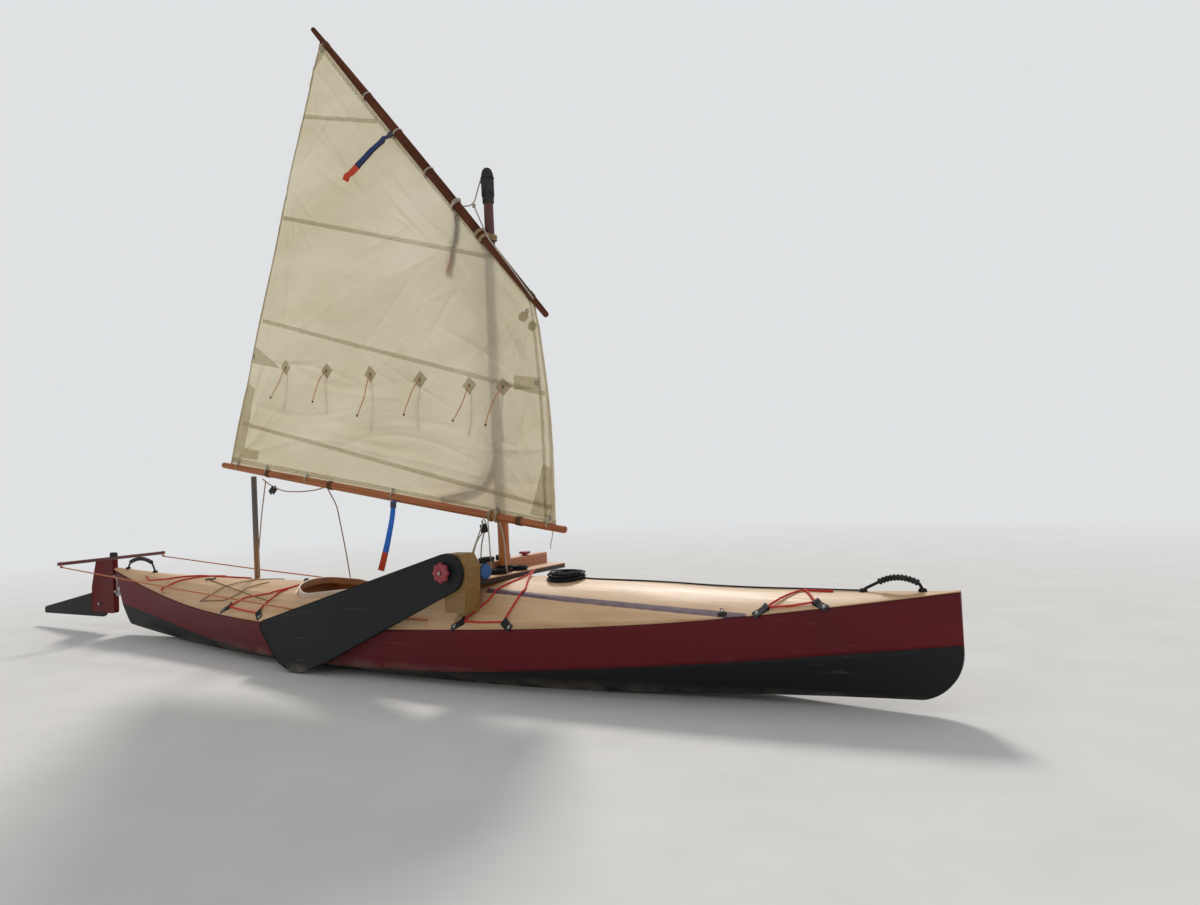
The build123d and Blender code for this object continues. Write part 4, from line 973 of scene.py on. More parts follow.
def sail_y(x, z):
    """The cloth's place beside the spars' plane: a soft belly to starboard and all its folds, each a
    ridge across its width and fading along its length. Both die out at the spars."""
    x, z = np.broadcast_arrays(np.asarray(x, float), np.asarray(z, float))
    from_head, from_foot = from_line(x, z, YARD), from_line(x, z, BOOM)
    luff_line = (tuple(sail_at(0, 0)), tuple(sail_at(0, 1)))
    leech_line = (tuple(sail_at(1, 0)), tuple(sail_at(1, 1)))
    from_luff, from_leech = from_line(x, z, luff_line), from_line(x, z, leech_line)
    cup = np.tanh(from_head / 0.30) * np.tanh(from_foot / 0.30)
    cup *= 0.45 + 0.55 * np.tanh(from_luff / 0.3) * np.tanh(from_leech / 0.4)
    ripple = np.zeros(x.shape)
    for cx, cz, way, half, wide, high, bow in FOLDS:
        along = (x - cx) * math.cos(way) + (z - cz) * math.sin(way)
        across = (z - cz) * math.cos(way) - (x - cx) * math.sin(way) + bow * along**2
        ripple += high * np.exp(-(along / half) ** 2) / (1 + (across / wide) ** 2)
    wave = 0.005 * np.sin(7.1 * x + 3.7 * z + 0.6) + 0.004 * np.sin(11.3 * z - 4.4 * x)
    held = np.tanh(from_head / 0.05) * np.tanh(from_foot / 0.05)
    return spar_y - sail_belly * cup + held * (ripple + wave * cup)


def on_sail(place, lift=0.0):
    """Points on the cloth at places (x, z), or lifted off it to port."""
    return np.stack([place[..., 0], sail_y(place[..., 0], place[..., 1]) + lift, place[..., 1]], -1)


def cloth(name, pale, shade, through):
    """Woven polyester: its threads as a fine relief, faint stains and crumples, and light that passes
    through it."""
    material, tree, surface = finish(name, Roughness=0.62)
    place = here(tree)
    at = parts(tree, place)
    weave_pitch = 0.0011
    warp = sums(tree, "SINE", times(tree, at[0], 2 * math.pi / weave_pitch))
    weft = sums(tree, "SINE", times(tree, at[2], 2 * math.pi / weave_pitch))
    threads = times(tree, sums(tree, "ADD", warp, weft), 0.12)
    space = put(tree, "Mapping", Vector=place, Scale=(0.8, 1.0, 1.3)).outputs[0]
    from_fold = put(tree, "TexVoronoi", {"feature": "DISTANCE_TO_EDGE"}, Vector=space, Scale=13.0).outputs[0]
    crumple = times(tree, spread(tree, from_fold, 0.0, 0.12), noise(tree, place, 3.0, 2.0))
    fine = noise(tree, place, 30.0, 5.0, (1.4, 1.0, 0.7))
    stain = noise(tree, place, 1.6, 5.0, (1.0, 1.0, 2.2))
    colour = blended(tree, spread(tree, stain, 0.34, 0.68), rgb(pale), rgb(shade))
    height = sums(tree, "ADD", sums(tree, "ADD", crumple, times(tree, fine, 0.9)), threads)
    join_up(tree, surface, colour, None, height, 0.006, 0.6)
    relief = surface.inputs["Normal"].links[0].from_socket
    glow = put(tree, "BsdfTranslucent", Color=colour, Normal=relief).outputs[0]
    mixed = put(tree, "MixShader", i0=through, i1=surface.outputs[0], i2=glow).outputs[0]
    tree.links.new(mixed, tree.nodes["Material Output"].inputs["Surface"])
    return material


sailcloth = cloth("cream sailcloth", "dcd4bd", "cec3a6", 0.74)
panel = sail_at(np.linspace(0, 1, sail_columns)[None, :], np.linspace(0, 1, sail_rows)[:, None])
sail = piece("sail_cloth", [lattice(on_sail(panel))], [sailcloth], "rig", ["sail"], "sailcloth", sharp=60,
             skin=True)

# What is sewn on the sail: bands over its seams, tapes round its edges, patches at its corners and
# at the reef's two ends, and six small diamonds for the reef cords. All are of a thinner cloth, laid
# over both faces, and look grey where the light comes through.


def slab(left, right, slot=0, columns=9, step=0.012):
    """A layer of cloth sewn on both faces between two lines (x, z): loops that run across over the
    cloth and back under it."""
    reach = max(np.linalg.norm(np.diff(np.asarray(e, float), axis=0), axis=1).sum() for e in (left, right))
    count = max(6, int(reach / step))
    left, right = even(left, count), even(right, count)
    share = np.linspace(0, 1, columns)[None, :, None]
    flat = left[:, None] * (1 - share) + right[:, None] * share
    loops = np.concatenate([on_sail(flat, -cloth_lift), on_sail(flat, cloth_lift)[:, ::-1]], 1)
    return lattice(loops, around=True, capped=True, slot=slot)


def strip(start, end, width, slot=0):
    """A band of cloth over a straight seam between two places (x, z)."""
    start, end = np.array(start), np.array(end)
    side = np.array([start[1] - end[1], end[0] - start[0]]) / np.linalg.norm(end - start) * width / 2
    return slab([start - side, end - side], [start + side, end + side], slot, 5)


# The seams' ends and the diamonds' middles, as (x, z)
SEAMS = (
    ((-0.500, 2.673), (0.005, 2.522)), ((-0.680, 2.198), (0.655, 1.773)),
    ((-0.868, 1.696), (0.895, 1.169)), ((-1.070, 1.180), (0.905, 0.699)),
)
REEF_DIAMONDS = (
    (-0.697, 1.437), (-0.383, 1.388), (-0.087, 1.343), (0.218, 1.290), (0.506, 1.237), (0.690, 1.215),
)
THROAT_PATCHES = ((0.800, 1.500), (0.845, 1.455))
seam_width = 0.019
diamond_half = 0.040
throat_patch_radius = 0.021
band_cloth = cloth("thin band cloth", "fbf9f3", "f5f2e8", 0.95)
edge_cloth = cloth("edge tape", "f1ede2", "e8e2d4", 0.90)
sewn = [strip(*seam, seam_width) for seam in SEAMS]
for x, z in REEF_DIAMONDS:
    foot, head = (x, z - diamond_half), (x, z + diamond_half)
    sewn.append(slab([foot, (x - diamond_half, z), head], [foot, (x + diamond_half, z), head], 1, 7, 0.004))
sewn += [
    slab(sail_at(0.994, np.linspace(0.984, 0.895, 12)), [(-0.347, 2.952), (-0.462, 2.826)]),
    slab(sail_at(0.994, np.linspace(0.006, 0.205, 20)), sail_at(0.960, np.linspace(0.006, 0.195, 20))),
    slab(sail_at(np.linspace(0.960, 0.90, 8), 0.02), sail_at(np.linspace(0.960, 0.90, 8), 0.045)),
    slab(sail_at(0.994, [0.295, 0.255]), [(-0.751, 1.446), (-0.755, 1.438)]),
    slab([(0.876, 1.190), (0.873, 1.236)], [(0.743, 1.198), (0.746, 1.258)]),
    slab(sail_at(0.008, [0.02, 0.25]), sail_at([0.062, 0.030], [0.02, 0.25])),
]
half_turn = np.radians(np.linspace(-90, 90, 9))
for x, z in THROAT_PATCHES:
    half = throat_patch_radius * np.stack([np.cos(half_turn), np.sin(half_turn)], 1)
    sewn.append(slab((x, z) + half * (-1, 1), (x, z) + half, 1, 7, 0.004))
t = np.linspace(0, 1, 60)
for outer_line, inner_line, slot in (
        ((0.002, t), (0.010, t), 0), ((0.022, t), (0.030, t), 0), ((0.9935, t), (0.999, t), 1),
        ((t, 0.004), (t, 0.016), 0), ((t, 0.986), (t, 0.997), 0)):
    sewn.append(slab(sail_at(*outer_line), sail_at(*inner_line), slot, 5))
sail_work = piece("sail_seams_and_patches", sewn, [band_cloth, edge_cloth], "rig", sharp=60)
foot_way = np.array(BOOM[1]) - np.array(BOOM[0])
foot_way /= np.linalg.norm(foot_way)

# Eyelets and lacing: steel rings pressed through the cloth along the spars, at its corners and at the
# reef's ends. Through those along the spars go two turns of thin cord round the spar.
HEAD_EYELETS = ((-0.072, 2.646), (0.112, 2.424), (0.293, 2.203), (-0.358, 2.964))
FOOT_EYELETS = (
    (-1.120, 0.975), (-0.883, 0.940), (-0.577, 0.890), (0.011, 0.797), (0.620, 0.699), (0.888, 0.662),
)
FREE_EYELETS = ((0.817, 1.521), (-0.952, 1.520), (0.862, 1.215))
eyelet_radius, eyelet_wire, eyelet_lift = 0.0072, 0.0020, 0.0014
cord_radius = 0.0021
lacing_shift = 0.0022


def ring(middle, axis, radius, wire, sides=10, steps=36, squash=1.0):
    """A ring of wire or cord round an axis, or an oval one, with its second radius a share of the
    first."""
    axis = np.array(axis, float) / np.linalg.norm(axis)
    first = np.cross(axis, [0, 1, 0] if abs(axis[1]) < 0.9 else [1, 0, 0])
    first /= np.linalg.norm(first)
    second = np.cross(axis, first)
    turn = np.linspace(0, 2 * np.pi, steps, endpoint=False)[:, None]
    out = np.cos(turn) * first + squash * np.sin(turn) * second
    line = np.array(middle) + radius * out
    out /= np.linalg.norm(out, axis=1)[:, None]
    round_wire = np.linspace(0, 2 * np.pi, sides, endpoint=False)[None, :, None]
    points = line[:, None] + wire * (out[:, None] * np.cos(round_wire) + axis * np.sin(round_wire))
    return lattice(np.concatenate([points, points[:1]]), around=True)


def rope_finish(name, colour, fleck, strands=3.0, pitch=0.012, flecked=0.8, rough=0.75):
    """Braided or laid cord: strands wound both ways round its own map, some in a second colour, with painted
    shade in the hollows between them.
    """
    material, tree, surface = finish(name, Roughness=rough)
    at = parts(tree, put(tree, "TexCoord").outputs["UV"])
    turn = times(tree, at[0], 2 * math.pi * strands)
    run = times(tree, at[1], 2 * math.pi / pitch)
    left = sums(tree, "SINE", sums(tree, "ADD", turn, run))
    right = sums(tree, "SINE", sums(tree, "SUBTRACT", turn, run))
    weave = sums(tree, "MAXIMUM", left, right)
    every_other = sums(tree, "SINE", times(tree, run, 0.5))
    picked = spread(tree, times(tree, left, every_other), flecked, flecked + 0.1)
    # Painted shade: the hollows between the strands take the colour at half strength.
    hollow = blended(tree, 1.0, rgb(colour), (0.5, 0.5, 0.5, 1), "MULTIPLY")
    toned = blended(tree, spread(tree, weave, -0.2, 0.8), hollow, rgb(colour))
    join_up(tree, surface, blended(tree, picked, toned, rgb(fleck)), None, weave, 0.0006, 0.7)
    return material


pale_cord = rope_finish("pale lacing cord", "cdc3ae", "a08a6a")
rings, lashings = [], []
for x, z in HEAD_EYELETS + FOOT_EYELETS + FREE_EYELETS:
    middle = on_sail(np.array([x, z]))
    rings += [ring(middle + (0, side * eyelet_lift, 0), (0, 1, 0), eyelet_radius, eyelet_wire)
              for side in (-1, 1)]
piece("sail_eyelets", rings, [steel], "rig", sharp=80)
for spar, radii, eyelets in ((YARD, yard_radii, HEAD_EYELETS), (BOOM, boom_radii, FOOT_EYELETS)):
    start, way = np.array(spar[0]), (np.array(spar[1]) - spar[0]) / math.dist(*spar)
    for eyelet in eyelets:
        run = float((np.array(eyelet) - start) @ way)
        radius = spar_radius(run / math.dist(*spar), radii)
        centre = start + way * run
        off = np.array(eyelet) - centre
        reach = (np.linalg.norm(off) + radius + 0.002) / 2
        middle = centre + off / np.linalg.norm(off) * (reach - radius - 0.0015)
        for shift in (-lacing_shift, lacing_shift):
            lashings.append(ring((middle[0] + way[0] * shift, spar_y, middle[1] + way[1] * shift),
                                 (way[0], 0, way[1]), radius + 0.0022, cord_radius, 6, 32))
piece("sail_lacing", lashings, [pale_cord], "rig", sharp=80)

# The reef cords: a short orange-brown cord on each face of the sail at every diamond, knotted at its
# end. The near ones are blown aft, the far ones hang straighter and reach lower. A thin pale cord
# hangs from the boom under the tack.


def route(points):
    """A cord's line as a spline through its points draws it, read back from the curve."""
    curve = bpy.data.curves.new("route", "CURVE")
    curve.dimensions = "3D"
    spline = curve.splines.new("NURBS")
    spline.points.add(len(points) - 1)
    spline.points.foreach_set("co", np.column_stack([points, np.ones(len(points))]).ravel())
    spline.order_u = 3
    spline.use_endpoint_u = True
    spline.resolution_u = 12
    holder = bpy.data.objects.new("route", curve)
    drawn = bpy.data.meshes.new_from_object(holder)
    line = np.empty(len(drawn.vertices) * 3)
    drawn.vertices.foreach_get("co", line)
    bpy.data.objects.remove(holder)
    bpy.data.meshes.remove(drawn)
    bpy.data.curves.remove(curve)
    return line.reshape(-1, 3)


def run_length(line):
    """A line's length."""
    return float(np.linalg.norm(np.diff(line, axis=0), axis=1).sum())


def cord(name, points, radius, material, body, far_end, lay, stiffness="limp", sides=8, **place):
    """A free cord: a tube along its route, leaving where it starts."""
    line = route(np.asarray(points, float))
    made = piece(name, [tube(line, radius, sides)], [material], body, sharp=80, **place)


reef_cord = rope_finish("orange-brown reef cord", "dd9050", "f3cf9c", 3.0, 0.008)
NEAR_ENDS = (
    (-0.806, 1.291), (-0.490, 1.245), (-0.179, 1.154), (0.126, 1.136), (0.413, 1.089), (0.592, 1.059),
)
reef_cord_sway = 0.012
tack_cord_radius = 0.0018
reef_knots = []
for k, (start, end) in enumerate(zip(REEF_DIAMONDS, NEAR_ENDS)):
    start, end = np.array(start), np.array(end)
    for side, tip in ((-1, end), (1, start + (end - start) * (0.25, 1.35))):
        share = np.array([0.0, 0.06, 0.3, 0.55, 0.8, 1.0])[:, None]
        sway = np.array([reef_cord_sway, 0.0]) * np.sin(math.pi * share) * (1 - 2 * (k % 2))
        off = side * np.array([0.0030, 0.009, 0.012, 0.011, 0.013, 0.012])
        points = on_sail(start + (tip - start) * share + sway) + off[:, None] * (0, 1, 0)
        name = f"reef_cord_{'near' if side < 0 else 'far'}_{k + 1}"
        cord(name, points, cord_radius, reef_cord, "rig", "knot", "hanging")
        reef_knots += [ring(points[-1] + (0, 0, lift), (0.2, 0, 1), 0.0024, 0.0019, 8, 16)
                       for lift in (-0.002, 0.001, 0.004)]
        reef_knots.append(ring(points[0] - (0, side * 0.0004, 0), (0, 1, 0), 0.0036, 0.0016, 8, 16))
tack_line = [(0.901, spar_y, 0.6045), (0.897, spar_y, 0.575), (0.886, spar_y, 0.552), (0.888, spar_y, 0.531)]
cord("tack_cord", tack_line, tack_cord_radius, pale_cord, "rig", "bare", "hanging")
piece("reef_cord_knots", reef_knots, [rope_finish("dark knot cord", "4a2d1c", "7a4a2a", 3.0, 0.006)], "rig",
      sharp=80)

# The sail ties: short straps of 30 mm webbing with a slider and an orange end, left hanging from the
# yard and the boom on both faces of the sail.


def band(line, side, width, thickness, slot=0):
    """A flat strap along a line: its width lies along a side vector, or one at each point."""
    line = np.asarray(line, float)
    along = np.gradient(line, axis=0)
    side = np.broadcast_to(np.asarray(side, float), line.shape)
    side = side - along * ((side * along).sum(1) / (along * along).sum(1))[:, None]
    side /= np.linalg.norm(side, axis=1)[:, None]
    normal = np.cross(along, side)
    normal /= np.linalg.norm(normal, axis=1)[:, None]
    corners = np.array([(-1, -1), (0, -1), (1, -1), (1, 1), (0, 1), (-1, 1)]) / 2
    points = line[:, None] + side[:, None] * corners[None, :, :1] * width
    points = points + normal[:, None] * corners[None, :, 1:] * thickness
    return lattice(points, around=True, capped=True, slot=slot)


def webbing(name, colour, stripe, rough=0.7):
    """Woven strap from its own map: ribs across it with painted shade between them, and a stripe along each
    edge.
    """
    material, tree, surface = finish(name, Roughness=rough)
    at = parts(tree, put(tree, "TexCoord").outputs["UV"])
    rib_pitch, warps = 0.0016, 18
    rib = sums(tree, "SINE", times(tree, at[1], 2 * math.pi / rib_pitch))
    warp = sums(tree, "SINE", times(tree, at[0], 2 * math.pi * warps))
    from_edge = sums(tree, "ABSOLUTE", sums(tree, "SINE", times(tree, at[0], 2 * math.pi)))
    edge = spread(tree, from_edge, 0.55, 0.6, 1.0, 0.0)
    weave = sums(tree, "ADD", rib, times(tree, warp, 0.5))
    # Painted shade: the hollows of the weave are darker.
    hollow = blended(tree, 1.0, rgb(colour), (0.6, 0.6, 0.6, 1), "MULTIPLY")
    shaded = blended(tree, spread(tree, weave, -1.2, 1.0, 0.0, 1.0), hollow, rgb(colour))
    join_up(tree, surface, blended(tree, edge, shaded, rgb(stripe)), None, weave, 0.0004, 0.6)
    return material


tie_width, tie_thickness = 0.030, 0.0012
slider_thickness = 0.009
orange_end = webbing("orange strap end", "ee4f2c", "d8452a")
tie_points, orange_from = 60, 44

# A tie: name, its places (x, z), how far beside the cloth or spar, its colours, its twist in radians
TIES = (
    ("yard_tie", ((0.118, 2.440), (0.060, 2.420), (-0.030, 2.380), (-0.110, 2.335), (-0.165, 2.305),
                  (-0.200, 2.280)), -0.016, "2a3f78", "1d2233", 0.5),
    ("yard_tie_far", ((0.461, 2.010), (0.455, 1.930), (0.430, 1.820), (0.409, 1.736)), 0.014,
     "66748c", "8d97a6", 0.3),
    ("boom_tie", ((0.031, 0.748), (0.024, 0.690), (0.001, 0.613), (-0.030, 0.520), (-0.068, 0.427)), -0.025,
     "2a84f5", "236fd8", 0.5),
    ("boom_tie_far", ((0.618, 1.000), (0.600, 0.900), (0.533, 0.812), (0.400, 0.778), (0.285, 0.770)), 0.024,
     "7a5c98", "9a86b0", 0.4),
)
sliders = []
for name, places, off, colour, stripe, twist in TIES:
    line = even(route(np.array([(x, 0, z) for x, z in places])), tie_points)
    line[:, 1] = sail_y(line[:, 0], line[:, 2]) + off if "yard" in name else spar_y + off
    turn = twist * np.linspace(0, 1, tie_points) ** 2
    side = np.stack([np.cos(turn), np.sin(turn), 0 * turn], 1)
    webbed = webbing(name + " webbing", colour, stripe)
    tie = piece(name, [band(line[:orange_from], side[:orange_from], tie_width, tie_thickness),
                       band(line[orange_from - 1:], side[orange_from - 1:], tie_width, tie_thickness, 1)],
                [webbed, orange_end], "rig", sharp=60)
    way = (line[3] - line[0]) / np.linalg.norm(line[3] - line[0])
    slider_run = np.linspace(line[0] + way * 0.004, line[0] + way * 0.030, 6)
    sliders.append(band(slider_run, side[0], tie_width, slider_thickness))
piece("tie_sliders", sliders, [plastic("dark slider plastic", "1f2530", 0.4)], "rig", sharp=30)

# Parrels and halyard: tan rope rings hold both spars to the mast. The halyard runs from the ring on
# the masthead down to a knot and on to the yard in two legs. Thin whippings bind both spars.
tan_rope = rope_finish("tan rope", "b39a72", "8a6b44", 3.0, 0.014)
parrel_rope = 0.004
parrel_pitch = 0.0085
parrel_reach = mast_radius + glue_line + parrel_rope
wraps = []
heights = {}
for spar, radii in ((YARD, yard_radii), (BOOM, boom_radii)):
    length = math.dist(*spar)
    way = np.array([spar[1][0] - spar[0][0], 0, spar[1][1] - spar[0][1]]) / length
    at_mast = (mast_x - spar[0][0]) / way[0]
    crossing = np.array([mast_x, spar_y, spar[0][1] + way[2] * at_mast])
    heights[spar] = crossing[2]
    radius = spar_radius(at_mast / length, radii)
    for lift in (-parrel_pitch, 0.0, parrel_pitch):
        wraps.append(ring((mast_x, 0, crossing[2] + lift), (0, 0, 1), parrel_reach, parrel_rope, 10, 48))
    for shift in (-0.022, -0.0135, 0.0135, 0.022):
        wraps.append(ring(crossing + way * shift, way, radius + parrel_rope, parrel_rope, 10, 40))
    for shift in (-0.012, 0.012):
        wraps.append(ring((mast_x + shift, spar_y / 2, crossing[2]), (1, 0, 0), 0.016, 0.0035, 8, 30,
                          squash=1.3))
piece("parrel_lashings", wraps, [tan_rope], "rig", ["parrels"], "rope_tan", 80)


def soft(points, step=0.006, blur=5):
    """A taut line's points, evenly spaced, with its corners rounded by a running mean."""
    points = np.asarray(points, float)
    count = max(8, int(run_length(points) / step))
    line = even(points, count)
    padded = np.pad(line, ((blur, blur), (0, 0)), "reflect", reflect_type="odd")
    kernel = np.ones(2 * blur + 1) / (2 * blur + 1)
    return np.stack([np.convolve(column, kernel, "valid") for column in padded.T], 1)


def line_piece(name, runs, radius, material, body=None, sides=8):
    """Taut lines: tubes along their runs."""
    return piece(name, [tube(soft(run), radius, sides) for run in runs], [material], body, sharp=80)


knot_place = (0.546, -0.034, 2.022)
rigging_radius = 0.0030
halyard = line_piece("halyard", [
    [(0.574, -0.014, 2.135), (0.560, -0.026, 2.080), knot_place, (0.500, -0.052, 2.024),
     (0.462, spar_y - 0.016, 2.028)],
    [knot_place, (0.640, -0.066, 1.860), (0.760, -0.078, 1.715), (0.876, spar_y - 0.024, 1.560)],
], rigging_radius, pale_cord)
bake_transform(halyard)
halyard_knots = [ring((*knot_place[:2], knot_place[2] + lift), (0.3, 0.1, 1), 0.0052, 0.0034, 8, 24)
                 for lift in (-0.006, 0.0, 0.006)]
halyard_knots += [ring((0.462, spar_y, 2.040 + 0.008 * k), (-0.64, 0, 0.768), 0.0225, 0.003, 8, 36)
                  for k in (-1, 0, 1)]
piece("halyard_knots", halyard_knots, [pale_cord], "rig", sharp=80)
masthead_rings = [ring((0.5735, 0, 2.128), (0, 1, 0), 0.0095, 0.0022),
                  ring((mast_x, 0, 2.139), (0, 0, 1), 0.0285, 0.0022, 8, 48)]
piece("masthead_ring", masthead_rings, [rope_finish("black lashing", "1c1b1b", "3a3735")], "hull", sharp=80)
whipping_pitch = 0.0026
whippings = []
for spar, radii, shares in ((BOOM, boom_radii, (0.105, 0.62, 0.83)), (YARD, yard_radii, (0.06, 0.93))):
    length = math.dist(*spar)
    way = np.array([spar[1][0] - spar[0][0], 0, spar[1][1] - spar[0][1]]) / length
    for share in shares:
        place = np.array([spar[0][0], spar_y, spar[0][1]]) + way * share * length
        radius = spar_radius(share, radii)
        whippings += [ring(place + way * whipping_pitch * k, way, radius + 0.0013, 0.0015, 6, 32)
                      for k in range(-5, 6)]
whipping_twine = rope_finish("brown whipping twine", "6e4a2c", "9c7448", 3.0, 0.006)
piece("spar_whippings", whippings, [whipping_twine], "rig", sharp=80)

# The mainsheet: from the foot of the boom's crutch up to a black block under the boom, along it in a
# slack bight, and down to the cockpit's far edge.
sheet_rope = rope_finish("pale sheet rope", "c2a98c", "a0522d", 3.0, 0.014, 0.3)
sheet_block = np.array((-0.849, spar_y, 0.821))
pulley_width, wheel_radius = 0.026, 0.009
sheet_aft = line_piece("mainsheet_aft", [[
    (-1.097, 0.023, 0.358), (-1.070, 0.008, 0.470), (-0.985, -0.025, 0.700), (-0.905, spar_y, 0.868),
]], rigging_radius, sheet_rope)
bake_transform(sheet_aft)
line_piece("mainsheet_bight", [[
    (-0.905, spar_y - 0.018, 0.880), (-0.880, spar_y - 0.012, 0.862), (-0.840, spar_y - 0.006, 0.836),
    (-0.760, spar_y, 0.812), (-0.640, spar_y, 0.806), (-0.520, spar_y, 0.812),
    (-0.440, spar_y - 0.006, 0.826),
]], rigging_radius, sheet_rope, "rig")
sheet_fore = line_piece("mainsheet_fore", [[
    (-0.440, spar_y, 0.820), (-0.450, 0.010, 0.730), (-0.520, 0.120, 0.485),
    (-0.566, 0.186, float(deck_z(-0.566, 0.186)) + rigging_radius),
]], rigging_radius, sheet_rope)
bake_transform(sheet_fore)


def pulley(place, lean, across, half_gap, thickness, wire):
    """A small block: a cheek on each side of the wheel, leaning by (x, z) from its middle to its upper
    end, and the wheel's rim between them."""
    half = np.array([lean[0], 0, lean[1]])
    cheeks = []
    for side in (-1, 1):
        middle = place + (0, side * half_gap, 0)
        cheeks.append(band(np.linspace(middle + half, middle - half, 8), across, pulley_width, thickness))
    return [*cheeks, ring(place, (0, 1, 0), wheel_radius, wire, 10, 28)]


sheet_pulley = pulley(sheet_block, (0.016, 0.014), (0.6, 0, 0.8), 0.008, 0.004, 0.005)
piece("mainsheet_block", sheet_pulley, [black_rubber], "rig", sharp=40)

# The boom's crutch: a round pole on the aft deck, grey above and brown below.


def crutch_finish():
    """Wood, grey but for its lower third."""
    material, tree, surface = finish("grey and brown crutch")
    place = here(tree)
    space = put(tree, "Mapping", Vector=place, Rotation=UPRIGHT).outputs[0]
    low = grain(tree, space, "a37a52", "755033", 1.0, 0.6, 0.5)
    high = grain(tree, space, "75706a", "575250", 1.0, 0.6, 0.6)
    level = sums(tree, "ADD", parts(tree, place)[2],
                 spread(tree, noise(tree, place, 30.0, 3.0), 0.3, 0.7, -0.03, 0.03))
    colour = blended(tree, spread(tree, level, 0.50, 0.60), low["Color"], high["Color"])
    join_up(tree, surface, colour, high["Roughness"], high["Height"], 0.0004, 0.4)
    return material


post_low, post_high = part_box("boom_post")
post_x, post_y = (post_low.x + post_high.x) / 2, (post_low.y + post_high.y) / 2
post_radius = 0.0145
crutch = pole((post_x, post_y, post_low.z), (post_x, post_y, post_high.z), (0, 1), (post_radius, post_radius),
              rows=40, round_end=0.004)
piece("crutch_pole", [crutch], [crutch_finish()], "hull", ["boom_post"], "mast_wood")

# The carrying handles: each is a rope through two feet on the deck. The bow one runs through a ribbed
# black rubber grip, the stern one through a smooth one with a small rope ring on it.

# A row: name, the feet's x, the grip's x at both ends, its height there and on top, ribs and depth
HANDLES = (
    ("bow", (2.143, 2.338), (2.195, 2.328), 0.424, 0.453, 11, 0.0016),
    ("stern", (-2.288, -2.008), (-2.262, -2.040), 0.425, 0.458, 1, 0.0),
)
leg_radius, grip_radius = 0.0052, 0.0115
black_rope = rope_finish("black braided rope", "111012", "2b2a30", 3.0, 0.012)
legs, grips = [], []
for name, feet, ends, shoulder, top, ribs, depth in HANDLES:
    for x, end in zip(feet, ends):
        low = float(deck_z(x, 0.0))
        leg = [(x, 0, low + 0.001), (x + (end - x) * 0.1, 0, low + 0.010), (end, 0, shoulder)]
        legs.append(tube(soft(leg, 0.003, 2), leg_radius, 10))
        legs += [ring((x, 0, low + 0.003 + 0.004 * k), (0, 0, 1), 0.0110 - 0.002 * k, 0.0038, 8, 28)
                 for k in (0, 1)]
    t = np.linspace(0, 1, 140)
    rise = top - grip_radius - shoulder
    arch = np.stack([ends[0] + (ends[1] - ends[0]) * t, 0 * t, shoulder + rise * (1 - (2 * t - 1) ** 2)], 1)
    rib = grip_radius - depth * (1 + np.cos(2 * np.pi * ribs * t))
    edge = np.minimum(1, np.minimum(t, 1 - t) / 0.02)
    grips.append(tube(arch, rib * (0.75 + 0.25 * np.sqrt(edge)), 20))
stern_grip_ring = (-2.172, 0.0, 0.447)
legs.append(ring(stern_grip_ring, (0.4, 0, 1), 0.0125, 0.003, 8, 28))
piece("handle_ropes", legs, [black_rope], "hull", ["handles"], "black_plastic", 80)
piece("handle_grips", grips, [black_rubber], "hull", sharp=60)

# The painter: one black braided rope, 6 mm thick, from the bow handle's foot along the middle of the
# foredeck to a loose coil before the crossbeam. Its turns differ in size, wander and fan out.
PAINTER_POINTS = (
    (2.1277, 0.000, 0.3948), (2.048, 0.002, 0.3943), (1.962, 0.006, 0.3938), (1.881, 0.005, 0.3934),
    (1.792, -0.001, 0.3939), (1.708, -0.006, 0.3951), (1.617, -0.005, 0.3967), (1.534, 0.001, 0.3982),
    (1.446, 0.007, 0.4008), (1.360, 0.006, 0.4034), (1.271, -0.001, 0.4062), (1.187, -0.008, 0.4077),
    (1.106, -0.010, 0.4085), (1.0266, -0.009, 0.4094),
)
painter_radius = 0.0032
coil_middle, coil_reach = (0.935, -0.022), (0.094, 0.075)
coil_start = math.radians(62)
coil_lift = 0.0037
coil_steps, layer_turns, layer_rise = 14, 3, 0.0069

# A layer of the coil, from below: its size at its start and end, its shift along x and y, its bearing
LAYERS = (
    (0.96, 0.48, 0.000, 0.000, 0), (0.52, 0.90, 0.009, -0.004, 22), (0.88, 0.46, -0.010, 0.006, -24),
    (0.50, 0.86, -0.004, -0.009, 34), (0.84, 0.42, 0.010, 0.005, -16),
)


def wound(middle, reach, layers, start, rise):
    """A loose hank: each layer's turns wind in or out between two sizes, round a middle and a bearing
    of its own, and the cord climbs to the next layer over the last part of a turn. Heights are over
    what it lies on."""
    steps = coil_steps * layer_turns
    share = np.arange(steps * len(layers)) / steps
    ends = [0.0]
    for k in range(1, len(layers)):
        ends += [k - 0.08, k + 0.02]
    level = np.interp(share, [*ends, len(layers)], np.repeat(np.arange(len(layers)), 2))
    at = np.arange(len(layers)) + 0.5
    size = np.interp(share, np.ravel([(k + 0.04, k + 0.96) for k in range(len(layers))]),
                     np.ravel([layer[:2] for layer in layers]))
    shift_x, shift_y, skew = (np.interp(share, at, [layer[k] for layer in layers]) for k in (2, 3, 4))
    turn = 2 * np.pi * share * layer_turns + start
    x, y = size * reach[0] * np.cos(turn), size * reach[1] * np.sin(turn)
    c, s = np.cos(np.radians(skew)), np.sin(np.radians(skew))
    place_x, place_y = middle[0] + shift_x + x * c - y * s, middle[1] + shift_y + x * s + y * c
    return np.stack([place_x, place_y, rise * level], 1)


